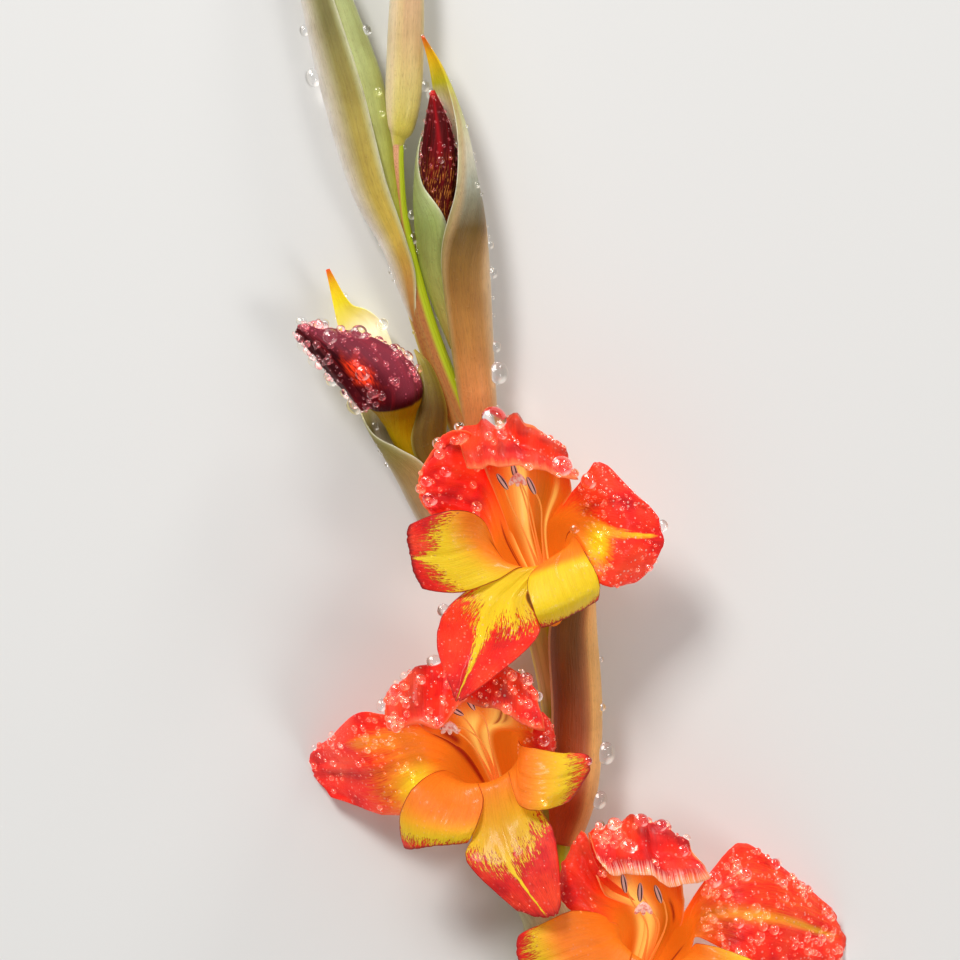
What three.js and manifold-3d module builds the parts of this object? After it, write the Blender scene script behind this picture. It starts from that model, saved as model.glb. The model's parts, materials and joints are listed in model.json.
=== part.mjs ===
// A cut gladiolus spike, lying on its back on a flat surface with its blooms facing up.
// Units are millimetres. The spike points along +Y, its blooms face +Z, and z = 0 is the surface.
// Every point below is measured from a spot on the spike's back beside the middle bloom.

import * as THREE from "three";
import { mergeVertices } from "three/addons/utils/BufferGeometryUtils.js";
import Module from "manifold-3d";

const wasm = await Module();
wasm.setup();

// Driving dimensions
const tepalThickness = 0.8;
const bractThickness = 0.8;
const gap = 0.3; // clearance between neighbouring pieces
const tepalStepsLong = 8;
const tepalStepsWide = 6;
const bractStepsPerStation = 2;
const bractStepsWide = 6;
const tepalHalfAngle = 34; // degrees of the throat that half a tepal covers
const tepalRoot = 1.2; // how far a tepal starts below the floor of the throat
const finest = 0.08; // detail smaller than this is smoothed away after cutting
const thinnest = 0.35; // least radius at the tip of a bract or bud
const throatFloorRadius = 3.4;
const mouthRadius = 9;
const filamentRadius = 0.5;
const filamentRootRadius = 0.9;
const antherSize = [0.95, 4.2, 0.95]; // half sizes
const antherTilt = 25; // degrees
const stigmaSize = [0.8, 1.9, 0.8]; // half sizes of one lobe
const stigmaTilt = 20; // degrees
const lobeSpacing = 1.1;
const lobeTurn = 35; // degrees between neighbouring lobes
const rippleRate = [9, 2]; // radians along and across a tepal
const stemMesh = [30, 10]; // steps along and sides round
const tubeMesh = [9, 10];
const budMesh = [12, 12];
const filamentMesh = [5, 5];
const eggMesh = [6, 4];
const middle = [20.7, -46, 0.5]; // centre of the lying spike, seen from above

// Rachis and scape, from the cut end to the tip: [x, y, z, radius]
const stemLine = [
  [14, -252, 5.3, 5.0],
  [15, -215, 6.0, 4.9],
  [15.8, -175, 7.2, 4.8],
  [16.2, -140, 8.2, 4.7],
  [16.8, -110, 8.8, 4.5],
  [18.8, -90, 9.2, 4.3],
  [20.3, -72, 9.4, 4.1],
  [19.3, -56, 9.5, 4.0],
  [15.5, -38, 9.5, 3.9],
  [9.5, -18, 9.5, 3.8],
  [2, 0, 9.5, 3.7],
  [-6, 18, 9.5, 3.5],
  [-13, 36, 9.4, 3.2],
  [-17.6, 52, 9.2, 2.9],
  [-20.2, 66, 9.0, 2.3],
  [-20.9, 78, 8.8, 1.9],
  [-20.8, 85, 8.7, 1.7],
];

// Open blooms. tube: [x, y, z, radius] from the ovary to the floor of the throat.
// Each tepal has three stations past the mouth, and each station has three points, [x, y, z]:
// its counterclockwise edge, its midrib and its clockwise edge, as seen from above.
const blooms = {
  a: {
    tube: [[25.2, -78, 14.4, 2.3], [26.2, -62, 13.6, 2.5], [24.4, -44, 13.6, 2.7], [17.3, -29, 16.6, 3.6]],
    mouth: [14, -17, 24],
    tepals: [
      { angle: 90, wave: 0.6, rows: [
        [[1.5, 2, 30], [12, 4, 20.5], [23, -2, 30]],
        [[-6.5, 12.5, 36], [7.5, 15.8, 35], [20.5, 9.5, 38]],
        [[-5, 4, 43], [9, 3.8, 49], [24.2, 0.2, 44]]] },
      { angle: 150, wave: 0.8, rows: [
        [[1, -11, 27], [1, -3, 26], [2, 5, 28]],
        [[-8, -8.5, 31], [-9, 0, 33], [-7, 8.5, 36]],
        [[-12.8, -8.6, 29], [-15, -2, 30], [-12.3, 6.5, 33]]] },
      { angle: 210, wave: 0.5, rows: [
        [[3.6, -25.5, 31], [-0.2, -17.3, 30], [0.3, -9.4, 29.5]],
        [[-5.5, -28.3, 31], [-8.8, -18.8, 32], [-7.9, -7.5, 34]],
        [[-15.7, -27.1, 28], [-17.7, -18.8, 30], [-18.9, -11.6, 30]]] },
      { angle: 270, wave: 0.6, rows: [
        [[11.8, -28.3, 33], [4.6, -30.7, 32], [-5.5, -29.3, 28]],
        [[14.6, -38.9, 40], [1.2, -41.7, 41], [-11, -39.3, 37]],
        [[-3, -54.2, 51], [-5.7, -55, 51.5], [-7.2, -52.5, 50]]] },
      { angle: 330, wave: 0.4, rows: [
        [[27.1, -20.2, 30], [19.4, -25.5, 34], [12.2, -29.3, 35]],
        [[30.2, -27.8, 33], [23.7, -32.2, 38], [15.4, -37.4, 40]],
        [[29.5, -30.7, 29], [23.2, -33.6, 33.5], [17, -37.4, 35.5]]] },
      { angle: 30, wave: 1.0, rows: [
        [[24.7, -1, 30], [26.6, -10.6, 27], [27.6, -20.2, 27]],
        [[29.5, 4.7, 34], [35.2, -12.5, 34], [30.4, -26.4, 31]],
        [[38.1, -3, 30], [46, -13.5, 28], [40, -25.5, 26]]] },
    ],
  },
  b: {
    tube: [[17.4, -119, 15.8, 2.2], [15.5, -108, 15.2, 2.2], [10.8, -94, 13.6, 2.6], [6, -81, 12.5, 3.6]],
    mouth: [1.5, -70, 22],
    tepals: [
      { angle: 90, wave: 0.8, rows: [
        [[-14.4, -62, 30], [-0.5, -57.6, 21], [13.3, -63, 29]],
        [[-23.7, -54.6, 34], [-3, -44.2, 32], [14.3, -53.6, 34]],
        [[-22.8, -63.5, 37], [-5.5, -56, 43], [17.8, -66, 37]]] },
      { angle: 150, wave: 1.0, rows: [
        [[-15.8, -73.9, 26], [-15.3, -67, 26], [-17.3, -62, 30]],
        [[-25.2, -83.8, 16], [-28.7, -70.9, 22], [-30.2, -60, 28]],
        [[-37.6, -79.8, 4], [-42.8, -71.9, 0.8], [-40.6, -67, 8]]] },
      { angle: 210, wave: 0.4, rows: [
        [[1, -80.3, 31], [-7.4, -80.8, 31], [-15.8, -75.9, 29.5]],
        [[-1, -87.2, 33], [-10.4, -87.2, 33], [-20.3, -84.3, 28]],
        [[-3.5, -91.2, 31], [-11.9, -91.7, 31], [-18.8, -93.2, 25]]] },
      { angle: 270, wave: 0.5, rows: [
        [[15.5, -82.5, 31], [5.4, -86.4, 32], [-2, -88.7, 30]],
        [[19.3, -91.2, 35], [8.9, -96.6, 36], [-3, -96.1, 33]],
        [[20.3, -107.5, 38], [17.3, -109.2, 39], [10.4, -108.7, 37]]] },
      { angle: 330, wave: 0.5, rows: [
        [[10.9, -66.5, 30], [10.4, -73.9, 33], [9.9, -81.3, 34.5]],
        [[19.3, -67.9, 33], [18.3, -74.9, 36], [16.3, -82.5, 36]],
        [[26.2, -68.4, 31], [27.7, -71.9, 31], [22.7, -80.3, 31]]] },
      { angle: 30, wave: 0.5, rows: [
        [[10.9, -57.6, 28], [12.3, -62.5, 27], [9.9, -68.9, 26]],
        [[15.8, -58, 30], [18.3, -63.5, 30], [15.8, -68.9, 28]],
        [[18.8, -60.5, 24], [21, -65, 23.5], [19.3, -68.9, 22.5]]] },
    ],
  },
  c: {
    tube: [[19, -158, 14.4, 2.2], [23.5, -148, 13.8, 2.3], [31, -137.5, 13, 2.6], [39, -127.5, 12.5, 3.6]],
    mouth: [43.5, -115.5, 22],
    tepals: [
      { angle: 90, wave: 0.8, rows: [
        [[30.2, -102.5, 29], [40.8, -99.7, 21], [50.9, -105.2, 29]],
        [[26.9, -88.5, 34], [39.2, -85.2, 34], [50.9, -90.7, 36]],
        [[29.7, -95.2, 42], [42.5, -98.8, 47], [59.8, -101.9, 41]]] },
      { angle: 150, wave: 0.8, rows: [
        [[30.2, -110.3, 28], [28.6, -103.6, 28], [30.2, -97.4, 31]],
        [[23, -108, 30], [23, -98, 32], [26.9, -89, 34]],
        [[19.9, -104.7, 29], [20.5, -96.9, 28], [25.2, -87.4, 31]]] },
      { angle: 210, wave: 0.5, rows: [
        [[35.3, -123.7, 31], [29.7, -115.9, 31], [24.7, -107.5, 31.5]],
        [[24.7, -128.7, 32], [19.1, -119.2, 34], [16.3, -110.3, 33]],
        [[15.2, -129.2, 28], [10.2, -122, 30], [8.8, -114.2, 30]]] },
      { angle: 270, wave: 0.6, rows: [
        [[51, -127, 33], [44, -129.5, 33], [36, -127.5, 31]],
        [[55.5, -138, 37], [44.5, -142, 38], [33, -139, 35]],
        [[47, -155.5, 42], [43.5, -157, 43], [39.5, -154.5, 42]]] },
      { angle: 330, wave: 0.5, rows: [
        [[55.4, -115.9, 31], [57, -122.5, 34], [52, -129, 34.5]],
        [[67, -119.5, 33], [67, -128, 35], [60, -135.5, 35]],
        [[72, -125, 27], [73, -131, 28], [66, -138.5, 29]]] },
      { angle: 30, wave: 1.0, rows: [
        [[56.5, -99.7, 29], [56.5, -108, 27], [54.8, -114.2, 28]],
        [[65.4, -90.7, 25], [72.7, -107.5, 22], [67.6, -121.4, 22]],
        [[80.5, -100.8, 12], [91.9, -114.2, 1], [86.6, -123.7, 6]]] },
    ],
  },
};

// Stamens and style of each bloom: where each anther and the stigma sit, [x, y, z, turn in degrees]
const stamens = {
  a: {
    anthers: [[5.6, -0.4, 38, 35], [8.6, 2.2, 35, 15], [12.8, -1.4, 38, 25]],
    stigma: [9.4, 1, 41.5],
  },
  b: {
    anthers: [[-10.2, -60, 34, 10], [-6.2, -57.6, 34, 60], [-2.5, -55.5, 31, 30]],
    stigma: [-7.5, -61, 37],
  },
  c: {
    anthers: [[36, -100.8, 35, 10], [40, -103, 35, 0], [44.5, -103.4, 35, 20]],
    stigma: [40.8, -106, 38],
  },
};

// Bracts, from base to tip: [x, y, z, radius, facing, spread]. The radius is that of the sheath
// they curl into, facing is where the back of the bract looks (0 is +X, 90 is +Z), and spread is
// how far round each margin reaches from there, both in degrees.
const bracts = {
  bract_a: [
    [20.5, -91, 9.5, 4.9, 60, 150], [23.4, -77, 11.5, 6, 55, 118], [24.2, -58, 12.4, 6.3, 55, 116],
    [23.2, -38, 13, 6, 55, 116], [24, -26, 12.5, 4.6, 40, 90], [26, -14, 10, 0.7, 20, 55],
  ],
  bract_b: [
    [16.4, -130, 8.6, 5.1, 100, 150], [17, -118, 12.6, 5.8, 95, 125], [16.6, -110, 13.2, 5.8, 100, 118],
    [13, -101, 13, 6, 130, 108], [9.3, -90, 12.8, 5.9, 150, 95], [5.2, -79, 12.8, 6.2, 220, 60],
    [2, -70, 8, 0.7, 220, 55],
  ],
  bract_c: [
    [16.3, -170, 7.4, 5.4, 70, 150], [18.6, -158, 11.6, 6.2, 60, 122], [23.6, -147, 12.2, 6.2, 40, 110],
    [31, -136, 12, 5.9, 0, 95], [39.9, -125, 13, 6.3, -40, 60], [43.5, -114, 7.5, 0.7, -40, 55],
  ],
  bract_nodding_outer: [
    [-1, -24, 9.5, 4.4, 190, 145], [-9, -10, 10, 5.7, 190, 132], [-15.4, 3, 11, 6.1, 195, 122],
    [-18.5, 9.5, 11.3, 6.6, 205, 90], [-22.5, 18, 11, 7.2, 235, 60], [-29.5, 36, 9.5, 6.2, 270, 75],
    [-34.3, 43, 10.5, 2.3, 270, 75], [-38.2, 52.8, 13, 0.5, 270, 60],
  ],
  bract_nodding_inner: [
    [-4, -14, 10.5, 3.2, 0, 115], [-9.2, -2, 11.6, 4.2, 10, 110], [-13.5, 9, 12.4, 5.1, 20, 115],
    [-12.8, 18, 13.5, 4.2, 20, 112], [-14.2, 27, 13.2, 2.4, 20, 100], [-16.7, 32.6, 13, 0.5, 20, 70],
  ],
  bract_upright_outer: [
    [2, 0, 9.5, 4.4, 40, 145], [-0.5, 18, 10.5, 4.6, 40, 125], [-2.2, 34, 11.5, 5.4, 45, 115],
    [-4, 53, 12, 6.3, 45, 108], [-5.5, 65, 11.5, 6.7, 2, 112], [-7, 75, 11.8, 6.3, -18, 97],
    [-8.5, 88, 11.5, 5, -30, 88], [-11, 101, 12, 2.6, -40, 78], [-14.6, 111.3, 13.8, 0.5, -50, 55],
  ],
  bract_upright_inner: [
    [-4, 34, 9.2, 3.4, 180, 110], [-7, 44, 8.8, 4.4, 180, 110], [-9.5, 54, 8.6, 5.3, 180, 110],
    [-10.4, 65, 10.4, 5.9, 180, 108], [-10.8, 74, 10, 5.7, 205, 76], [-11.4, 84, 9, 4, 225, 60],
    [-12, 92, 8, 0.6, 230, 50],
  ],
  spathe_left_outer: [
    [-13.4, 37, 9.4, 3.8, 170, 25], [-17.2, 50, 9.2, 3.7, 192, 120], [-20.6, 60, 9, 4.3, 200, 138],
    [-26.4, 75, 8.2, 6.3, 200, 136], [-33, 98, 7, 6.6, 200, 142], [-38.6, 118, 7.2, 5.6, 200, 138],
    [-44.6, 140, 7.4, 3.6, 200, 130], [-50, 160, 7.4, 0.5, 200, 90],
  ],
  spathe_left_inner: [
    [-21.6, 64, 9, 2.8, 10, 115], [-24.4, 78, 8.6, 3.4, 10, 115], [-28.6, 98, 8, 4.5, 10, 110],
    [-34.2, 115, 7.8, 4, 10, 110], [-40.6, 134, 7.6, 2.6, 10, 100], [-46, 149, 7.4, 0.5, 10, 80],
  ],
  spathe_top_outer: [
    [-20.8, 82.5, 8.7, 2.3, 30, 165], [-19.6, 89, 9, 3.5, 30, 168], [-19.1, 99, 9.4, 4.4, 30, 168],
    [-18.4, 120, 9.4, 4.1, 30, 160], [-17.8, 138, 9, 2.6, 30, 145], [-17.2, 152, 8.6, 0.5, 30, 100],
  ],
};

// Buds: [x, y, z, radius] from the axil to the tip, with the folds of the furled tepals
const buds = {
  bud_nodding: {
    folds: 3, depth: 0.14, twist: 150,
    line: [
      [-5, -13, 11.6, 2], [-12, -1, 12, 2.4], [-18.2, 9, 13, 3], [-20.2, 16, 14.6, 4.8],
      [-21.9, 22, 16.4, 8.2], [-26.5, 26.6, 17, 8.5], [-33, 30.6, 16.8, 6.7], [-40, 34.6, 16, 3.9],
      [-45.3, 37.6, 15.2, 0.9],
    ],
  },
  bud_upright: {
    folds: 3, depth: 0.12, twist: 120,
    line: [
      [0.6, 15, 12.6, 1.6], [-2, 34, 11.8, 2.2], [-6.8, 54, 10.8, 2.6], [-9.4, 66, 11.2, 4.3],
      [-9.8, 78, 11.8, 4.9], [-10.6, 88, 12, 3.5], [-11.9, 97.8, 12, 0.5],
    ],
  },
  bud_top: {
    folds: 3, depth: 0.05, twist: 40,
    line: [
      [-20.7, 86.4, 8.8, 1.4], [-19.1, 99, 9.4, 3], [-18.4, 120, 9.4, 2.8], [-17.9, 138, 9.1, 1.6],
      [-17.5, 150, 8.8, 0.5],
    ],
  },
};

// Colours, seen on the real flower
const looks = {
  stem: { color: 0x9c8a52, roughness: 0.6 },
  bloom: { color: 0xe8432a, roughness: 0.45 },
  stamens: { color: 0xe8a58a, roughness: 0.55 },
  bract: { color: 0xa6a06a, roughness: 0.6 },
  bractBrown: { color: 0x9a6a48, roughness: 0.6 },
  bud: { color: 0x7a1f2c, roughness: 0.4 },
  budGreen: { color: 0xb9bf6e, roughness: 0.55 },
};

const radians = THREE.MathUtils.degToRad;

// A smooth curve through rows of numbers, sampled at t from 0 to 1; works on any count of columns
function sampleRows(rows, t) {
  const last = rows.length - 1;
  const place = Math.min(t * last, last - 1e-9);
  const i = Math.floor(place);
  const f = place - i;
  const at = (k, c) => {
    if (k < 0) return 2 * rows[0][c] - rows[1][c];
    if (k > last) return 2 * rows[last][c] - rows[last - 1][c];
    return rows[k][c];
  };
  return rows[0].map((_, c) => {
    const [p, q, r, s] = [at(i - 1, c), at(i, c), at(i + 1, c), at(i + 2, c)];
    return 0.5 * (2 * q + (r - p) * f + (2 * p - 5 * q + 4 * r - s) * f * f
      + (3 * q - p - 3 * r + s) * f * f * f);
  });
}

const vector = (row) => new THREE.Vector3(row[0], row[1], row[2]);

// Sideways and upward directions across a line that runs along the surface
function frameAt(rows, t) {
  const ahead = vector(sampleRows(rows, Math.min(1, t + 0.01)));
  const behind = vector(sampleRows(rows, Math.max(0, t - 0.01)));
  const along = ahead.sub(behind).normalize();
  const side = new THREE.Vector3().crossVectors(along, new THREE.Vector3(0, 0, 1)).normalize();
  const up = new THREE.Vector3().crossVectors(side, along);
  return { along, side, up };
}

// A closed solid with merged corners, as a manifold, always turned outside out
function solidFrom(points, triangles) {
  const geometry = new THREE.BufferGeometry();
  const corners = points.flatMap((p) => [p.x, p.y, p.z]);
  geometry.setAttribute("position", new THREE.Float32BufferAttribute(corners, 3));
  geometry.setIndex(triangles);
  const merged = mergeVertices(geometry, 1e-4);
  const make = (index) => new wasm.Manifold(new wasm.Mesh({
    numProp: 3,
    vertProperties: new Float32Array(merged.attributes.position.array),
    triVerts: new Uint32Array(index),
  }));
  const index = Array.from(merged.index.array);
  const solid = make(index);
  if (solid.volume() > 0) return solid;
  const flipped = [];
  for (let i = 0; i < index.length; i += 3) flipped.push(index[i], index[i + 2], index[i + 1]);
  return make(flipped);
}

// A blade of even thickness over the surface point(u, v), both faces split alike
function bladeSolid(point, stepsLong, stepsWide, baseThickness, grow) {
  const small = 1e-3;
  const thickness = baseThickness + 2 * grow;
  const top = [];
  const bottom = [];
  for (let i = 0; i <= stepsLong; i += 1) {
    for (let j = 0; j <= stepsWide; j += 1) {
      const u = i / stepsLong;
      const v = -1 + (2 * j) / stepsWide;
      const here = point(u, v);
      const du = point(Math.min(1, u + small), v).sub(point(Math.max(0, u - small), v));
      const dv = point(u, Math.min(1, v + small)).sub(point(u, Math.max(-1, v - small)));
      const normal = new THREE.Vector3().crossVectors(dv, du).normalize();
      const past = (k, steps) => grow * ((k === steps ? 1 : 0) - (k === 0 ? 1 : 0));
      here.addScaledVector(du.normalize(), past(i, stepsLong));
      here.addScaledVector(dv.normalize(), past(j, stepsWide));
      top.push(here.clone().addScaledVector(normal, thickness / 2));
      bottom.push(here.clone().addScaledVector(normal, -thickness / 2));
    }
  }
  const width = stepsWide + 1;
  const under = top.length;
  const triangles = [];
  for (let i = 0; i < stepsLong; i += 1) {
    for (let j = 0; j < stepsWide; j += 1) {
      const [a, b, c, d] = [i * width + j, i * width + j + 1, (i + 1) * width + j + 1, (i + 1) * width + j];
      triangles.push(a, b, c, a, c, d);
      triangles.push(under + a, under + c, under + b, under + a, under + d, under + c);
    }
  }
  const rim = [];
  for (let j = 0; j < stepsWide; j += 1) rim.push(j);
  for (let i = 0; i < stepsLong; i += 1) rim.push(i * width + stepsWide);
  for (let j = stepsWide; j > 0; j -= 1) rim.push(stepsLong * width + j);
  for (let i = stepsLong; i > 0; i -= 1) rim.push(i * width);
  rim.forEach((a, k) => {
    const b = rim[(k + 1) % rim.length];
    triangles.push(a, under + b, b, a, under + a, under + b);
  });
  return solidFrom([...top, ...bottom], triangles);
}

// A round solid along rows of [x, y, z, radius]; relief(t, angle) scales the radius
function roundSolid(rows, steps, sides, grow = 0, relief = () => 1) {
  const points = [];
  const centers = [];
  for (let i = 0; i <= steps; i += 1) {
    const t = i / steps;
    const row = sampleRows(rows, t);
    const { along, side, up } = frameAt(rows, t);
    const center = vector(row).addScaledVector(along, grow * ((i === steps ? 1 : 0) - (i === 0 ? 1 : 0)));
    centers.push(center);
    for (let j = 0; j < sides; j += 1) {
      const angle = (2 * Math.PI * j) / sides;
      const radius = Math.max(thinnest, row[3]) * relief(t, angle) + grow;
      points.push(center.clone().addScaledVector(side, radius * Math.cos(angle))
        .addScaledVector(up, radius * Math.sin(angle)));
    }
  }
  const triangles = [];
  for (let i = 0; i < steps; i += 1) {
    for (let j = 0; j < sides; j += 1) {
      const [a, b] = [i * sides + j, i * sides + ((j + 1) % sides)];
      triangles.push(a, b, b + sides, a, b + sides, a + sides);
    }
  }
  const first = points.length;
  points.push(centers[0], centers[steps]);
  for (let j = 0; j < sides; j += 1) {
    const k = (j + 1) % sides;
    triangles.push(first, k, j, first + 1, steps * sides + j, steps * sides + k);
  }
  return solidFrom(points, triangles);
}

// The six tepals start on the floor of the throat, pass the mouth and spread out
function ringPoint(bloom, center, radius, degrees) {
  const floor = vector(bloom.tube[bloom.tube.length - 1]);
  const along = vector(bloom.mouth).sub(floor).normalize();
  const side = new THREE.Vector3().crossVectors(along, new THREE.Vector3(0, 0, 1)).normalize();
  const up = new THREE.Vector3().crossVectors(side, along);
  const angle = radians(degrees);
  return vector(center).addScaledVector(side, radius * Math.cos(angle))
    .addScaledVector(up, -radius * Math.sin(angle));
}

function tepalPoint(bloom, tepal) {
  const floor = vector(bloom.tube[bloom.tube.length - 1]);
  const root = floor.lerp(vector(bloom.mouth), -tepalRoot / floor.distanceTo(vector(bloom.mouth))).toArray();
  const offsets = [tepalHalfAngle, 0, -tepalHalfAngle];
  const rails = offsets.map((offset, k) => [
    ringPoint(bloom, root, throatFloorRadius, tepal.angle + offset).toArray(),
    ringPoint(bloom, bloom.mouth, mouthRadius, tepal.angle + offset).toArray(),
    ...tepal.rows.map((row) => row[k]),
  ]);
  return (u, v) => {
    const [left, rib, right] = rails.map((rail) => vector(sampleRows(rail, u)));
    const ripple = tepal.wave * Math.sin(rippleRate[0] * u + rippleRate[1] * v)
      * v * v * Math.min(1, 2 * u * u);
    return left.multiplyScalar((v * v - v) / 2).addScaledVector(rib, 1 - v * v)
      .addScaledVector(right, (v * v + v) / 2).add(new THREE.Vector3(0, 0, ripple));
  };
}

function bloomSolid(bloom, grow = 0) {
  const parts = bloom.tepals.map((tepal) => bladeSolid(
    tepalPoint(bloom, tepal), tepalStepsLong, tepalStepsWide, tepalThickness, grow));
  return parts.reduce((whole, part) => whole.add(part), roundSolid(bloom.tube, ...tubeMesh, grow));
}

// A sheath-like blade: an arc that follows the axis, its radius, facing and spread easing along it
function bractSolid(rows, grow = 0) {
  const point = (u, v) => {
    const [, , , radius, facing, spread] = sampleRows(rows, u);
    const { side, up } = frameAt(rows, u);
    const angle = radians(facing + v * spread);
    const reach = Math.max(thinnest, radius);
    return vector(sampleRows(rows, u)).addScaledVector(side, reach * Math.cos(angle))
      .addScaledVector(up, reach * Math.sin(angle));
  };
  const stepsLong = bractStepsPerStation * (rows.length - 1);
  return bladeSolid(point, stepsLong, bractStepsWide, bractThickness, grow);
}

function budSolid(bud, grow = 0) {
  const relief = (t, angle) => {
    const turn = (bud.folds * angle + radians(bud.folds * bud.twist) * t) / (2 * Math.PI);
    return 1 + bud.depth * (0.5 - (turn - Math.floor(turn)));
  };
  return roundSolid(bud.line, ...budMesh, grow, relief);
}

// An egg-shaped solid, turned about the line of sight
function eggSolid(center, size, turn, tilt) {
  const geometry = new THREE.SphereGeometry(1, ...eggMesh);
  geometry.scale(...size);
  geometry.rotateX(radians(tilt));
  geometry.rotateZ(radians(turn));
  geometry.translate(center[0], center[1], center[2]);
  geometry.deleteAttribute("normal");
  geometry.deleteAttribute("uv");
  const merged = mergeVertices(geometry, 1e-4);
  const corners = merged.attributes.position;
  const points = [];
  for (let k = 0; k < corners.count; k += 1) points.push(new THREE.Vector3().fromBufferAttribute(corners, k));
  return solidFrom(points, Array.from(merged.index.array));
}

function stamenSolid(bloom, set, grow = 0) {
  const floor = vector(bloom.tube[bloom.tube.length - 1]);
  const along = vector(bloom.mouth).sub(floor).normalize();
  const base = floor.clone().addScaledVector(along, gap);
  const inMouth = vector(bloom.mouth).addScaledVector(along, 2);
  const filament = (tip, offset) => roundSolid([
    [...base.toArray(), filamentRootRadius],
    [inMouth.x + offset, inMouth.y + 1, inMouth.z, filamentRadius],
    [(inMouth.x + tip[0]) / 2 + offset, (inMouth.y + tip[1]) / 2 + 2, tip[2] - 5, filamentRadius],
    [tip[0], tip[1], tip[2], filamentRadius],
  ], ...filamentMesh, grow);
  const pieces = set.anthers.flatMap((anther, k) => [
    filament(anther, (k - 1) * 2),
    eggSolid(anther, antherSize.map((size) => size + grow), anther[3], antherTilt),
  ]);
  pieces.push(filament(set.stigma, 0.6));
  [-1, 0, 1].forEach((k) => {
    const lobe = [set.stigma[0] + k * lobeSpacing, set.stigma[1] - 0.9, set.stigma[2] + 0.3];
    pieces.push(eggSolid(lobe, stigmaSize.map((size) => size + grow), k * lobeTurn, stigmaTilt));
  });
  return pieces.reduce((whole, piece) => whole.add(piece));
}

// The biggest single body of a cut shape; a shell sealed inside another is left out, so it fills
function biggest(solid) {
  const bodies = solid.decompose();
  return bodies.reduce((best, body) => (body.volume() > best.volume() ? body : best));
}

// Pieces in the order that they claim their place; each later one is cut clear of those before
const pieces = [];

function place(name, look, solid, grown) {
  let kept = solid;
  pieces.forEach((other) => {
    if (!kept.intersect(other.grown).isEmpty()) kept = kept.subtract(other.grown);
  });
  pieces.push({ name, look, solid: biggest(biggest(kept).simplify(finest)), grown });
}

place("stem", looks.stem, roundSolid(stemLine, ...stemMesh), roundSolid(stemLine, ...stemMesh, gap));
Object.entries(blooms).forEach(([key, bloom]) => {
  place(`bloom_${key}`, looks.bloom, bloomSolid(bloom), bloomSolid(bloom, gap));
  const organs = stamenSolid(bloom, stamens[key]);
  place(`stamens_${key}`, looks.stamens, organs, stamenSolid(bloom, stamens[key], gap));
});
Object.entries(buds).forEach(([name, bud]) => {
  const look = name === "bud_nodding" || name === "bud_upright" ? looks.bud : looks.budGreen;
  place(name, look, budSolid(bud), budSolid(bud, gap));
});
Object.entries(bracts).forEach(([name, rows]) => {
  const look = name === "bract_a" ? looks.bractBrown : looks.bract;
  place(name, look, bractSolid(rows), bractSolid(rows, gap));
});

function meshFrom({ name, look, solid }) {
  const { vertProperties, triVerts } = solid.getMesh();
  const geometry = new THREE.BufferGeometry();
  geometry.setAttribute("position", new THREE.Float32BufferAttribute(vertProperties, 3));
  geometry.setIndex(Array.from(triVerts));
  geometry.computeVertexNormals();
  const material = new THREE.MeshStandardMaterial({ ...look, metalness: 0, side: THREE.DoubleSide });
  const mesh = new THREE.Mesh(geometry, material);
  mesh.name = name;
  return mesh;
}

const group = new THREE.Group();
group.name = "cut_gladiolus";
group.position.set(-middle[0], -middle[1], -middle[2]);
pieces.forEach((piece) => group.add(meshFrom(piece)));

export default group;
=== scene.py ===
import json
import math
import random

import bpy
from mathutils import Euler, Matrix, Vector, noise

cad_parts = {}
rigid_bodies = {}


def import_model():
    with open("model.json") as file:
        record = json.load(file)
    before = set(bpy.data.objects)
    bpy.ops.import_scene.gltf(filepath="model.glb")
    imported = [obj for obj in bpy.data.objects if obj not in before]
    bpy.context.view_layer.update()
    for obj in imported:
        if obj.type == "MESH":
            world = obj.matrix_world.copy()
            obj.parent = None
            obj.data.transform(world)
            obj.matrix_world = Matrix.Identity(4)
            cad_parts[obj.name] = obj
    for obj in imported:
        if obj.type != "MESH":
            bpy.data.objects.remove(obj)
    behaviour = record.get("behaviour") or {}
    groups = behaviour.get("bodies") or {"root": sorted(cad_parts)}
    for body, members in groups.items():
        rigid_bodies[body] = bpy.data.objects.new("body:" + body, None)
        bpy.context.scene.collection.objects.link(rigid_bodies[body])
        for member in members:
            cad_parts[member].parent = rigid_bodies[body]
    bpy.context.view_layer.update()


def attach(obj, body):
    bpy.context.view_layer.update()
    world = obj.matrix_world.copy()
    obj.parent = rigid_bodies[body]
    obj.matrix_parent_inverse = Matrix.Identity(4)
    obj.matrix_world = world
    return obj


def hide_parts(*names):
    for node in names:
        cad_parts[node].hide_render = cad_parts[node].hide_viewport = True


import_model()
print("frame loaded")

# The frame's origin as the tables below count it, in mm
tableOrigin = Vector((20.7, -46.0, 0.5))


# Takes a point of the tables into the frame
def inMetres(point):
    return (Vector(point) - tableOrigin) / 1000


# 0 up to low, 1 from high on, and a soft step between them
def smooth(low, high, value):
    t = min(1.0, max(0.0, (value - low) / (high - low)))
    return t * t * (3 - 2 * t)


# Smooth curve through rows of numbers, t from 0 to 1
def sampleRows(rows, t):
    last = len(rows) - 1
    place = min(t * last, last - 1e-9)
    i = int(place)
    f = place - i
    q, r = rows[i], rows[i + 1]
    p = rows[i - 1] if i > 0 else [2 * a - b for a, b in zip(rows[0], rows[1])]
    s = rows[i + 2] if i + 2 <= last else [2 * a - b for a, b in zip(rows[last], rows[last - 1])]
    values = []
    for a, b, c, d in zip(p, q, r, s):
        square, cube = 2 * a - 5 * b + 4 * c - d, 3 * b - a - 3 * c + d
        values.append(0.5 * (2 * b + (c - a) * f + square * f * f + cube * f * f * f))
    return values


def sideAndUp(along):
    side = along.cross(Vector((0, 0, 1))).normalized()
    return side, side.cross(along)


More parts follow.
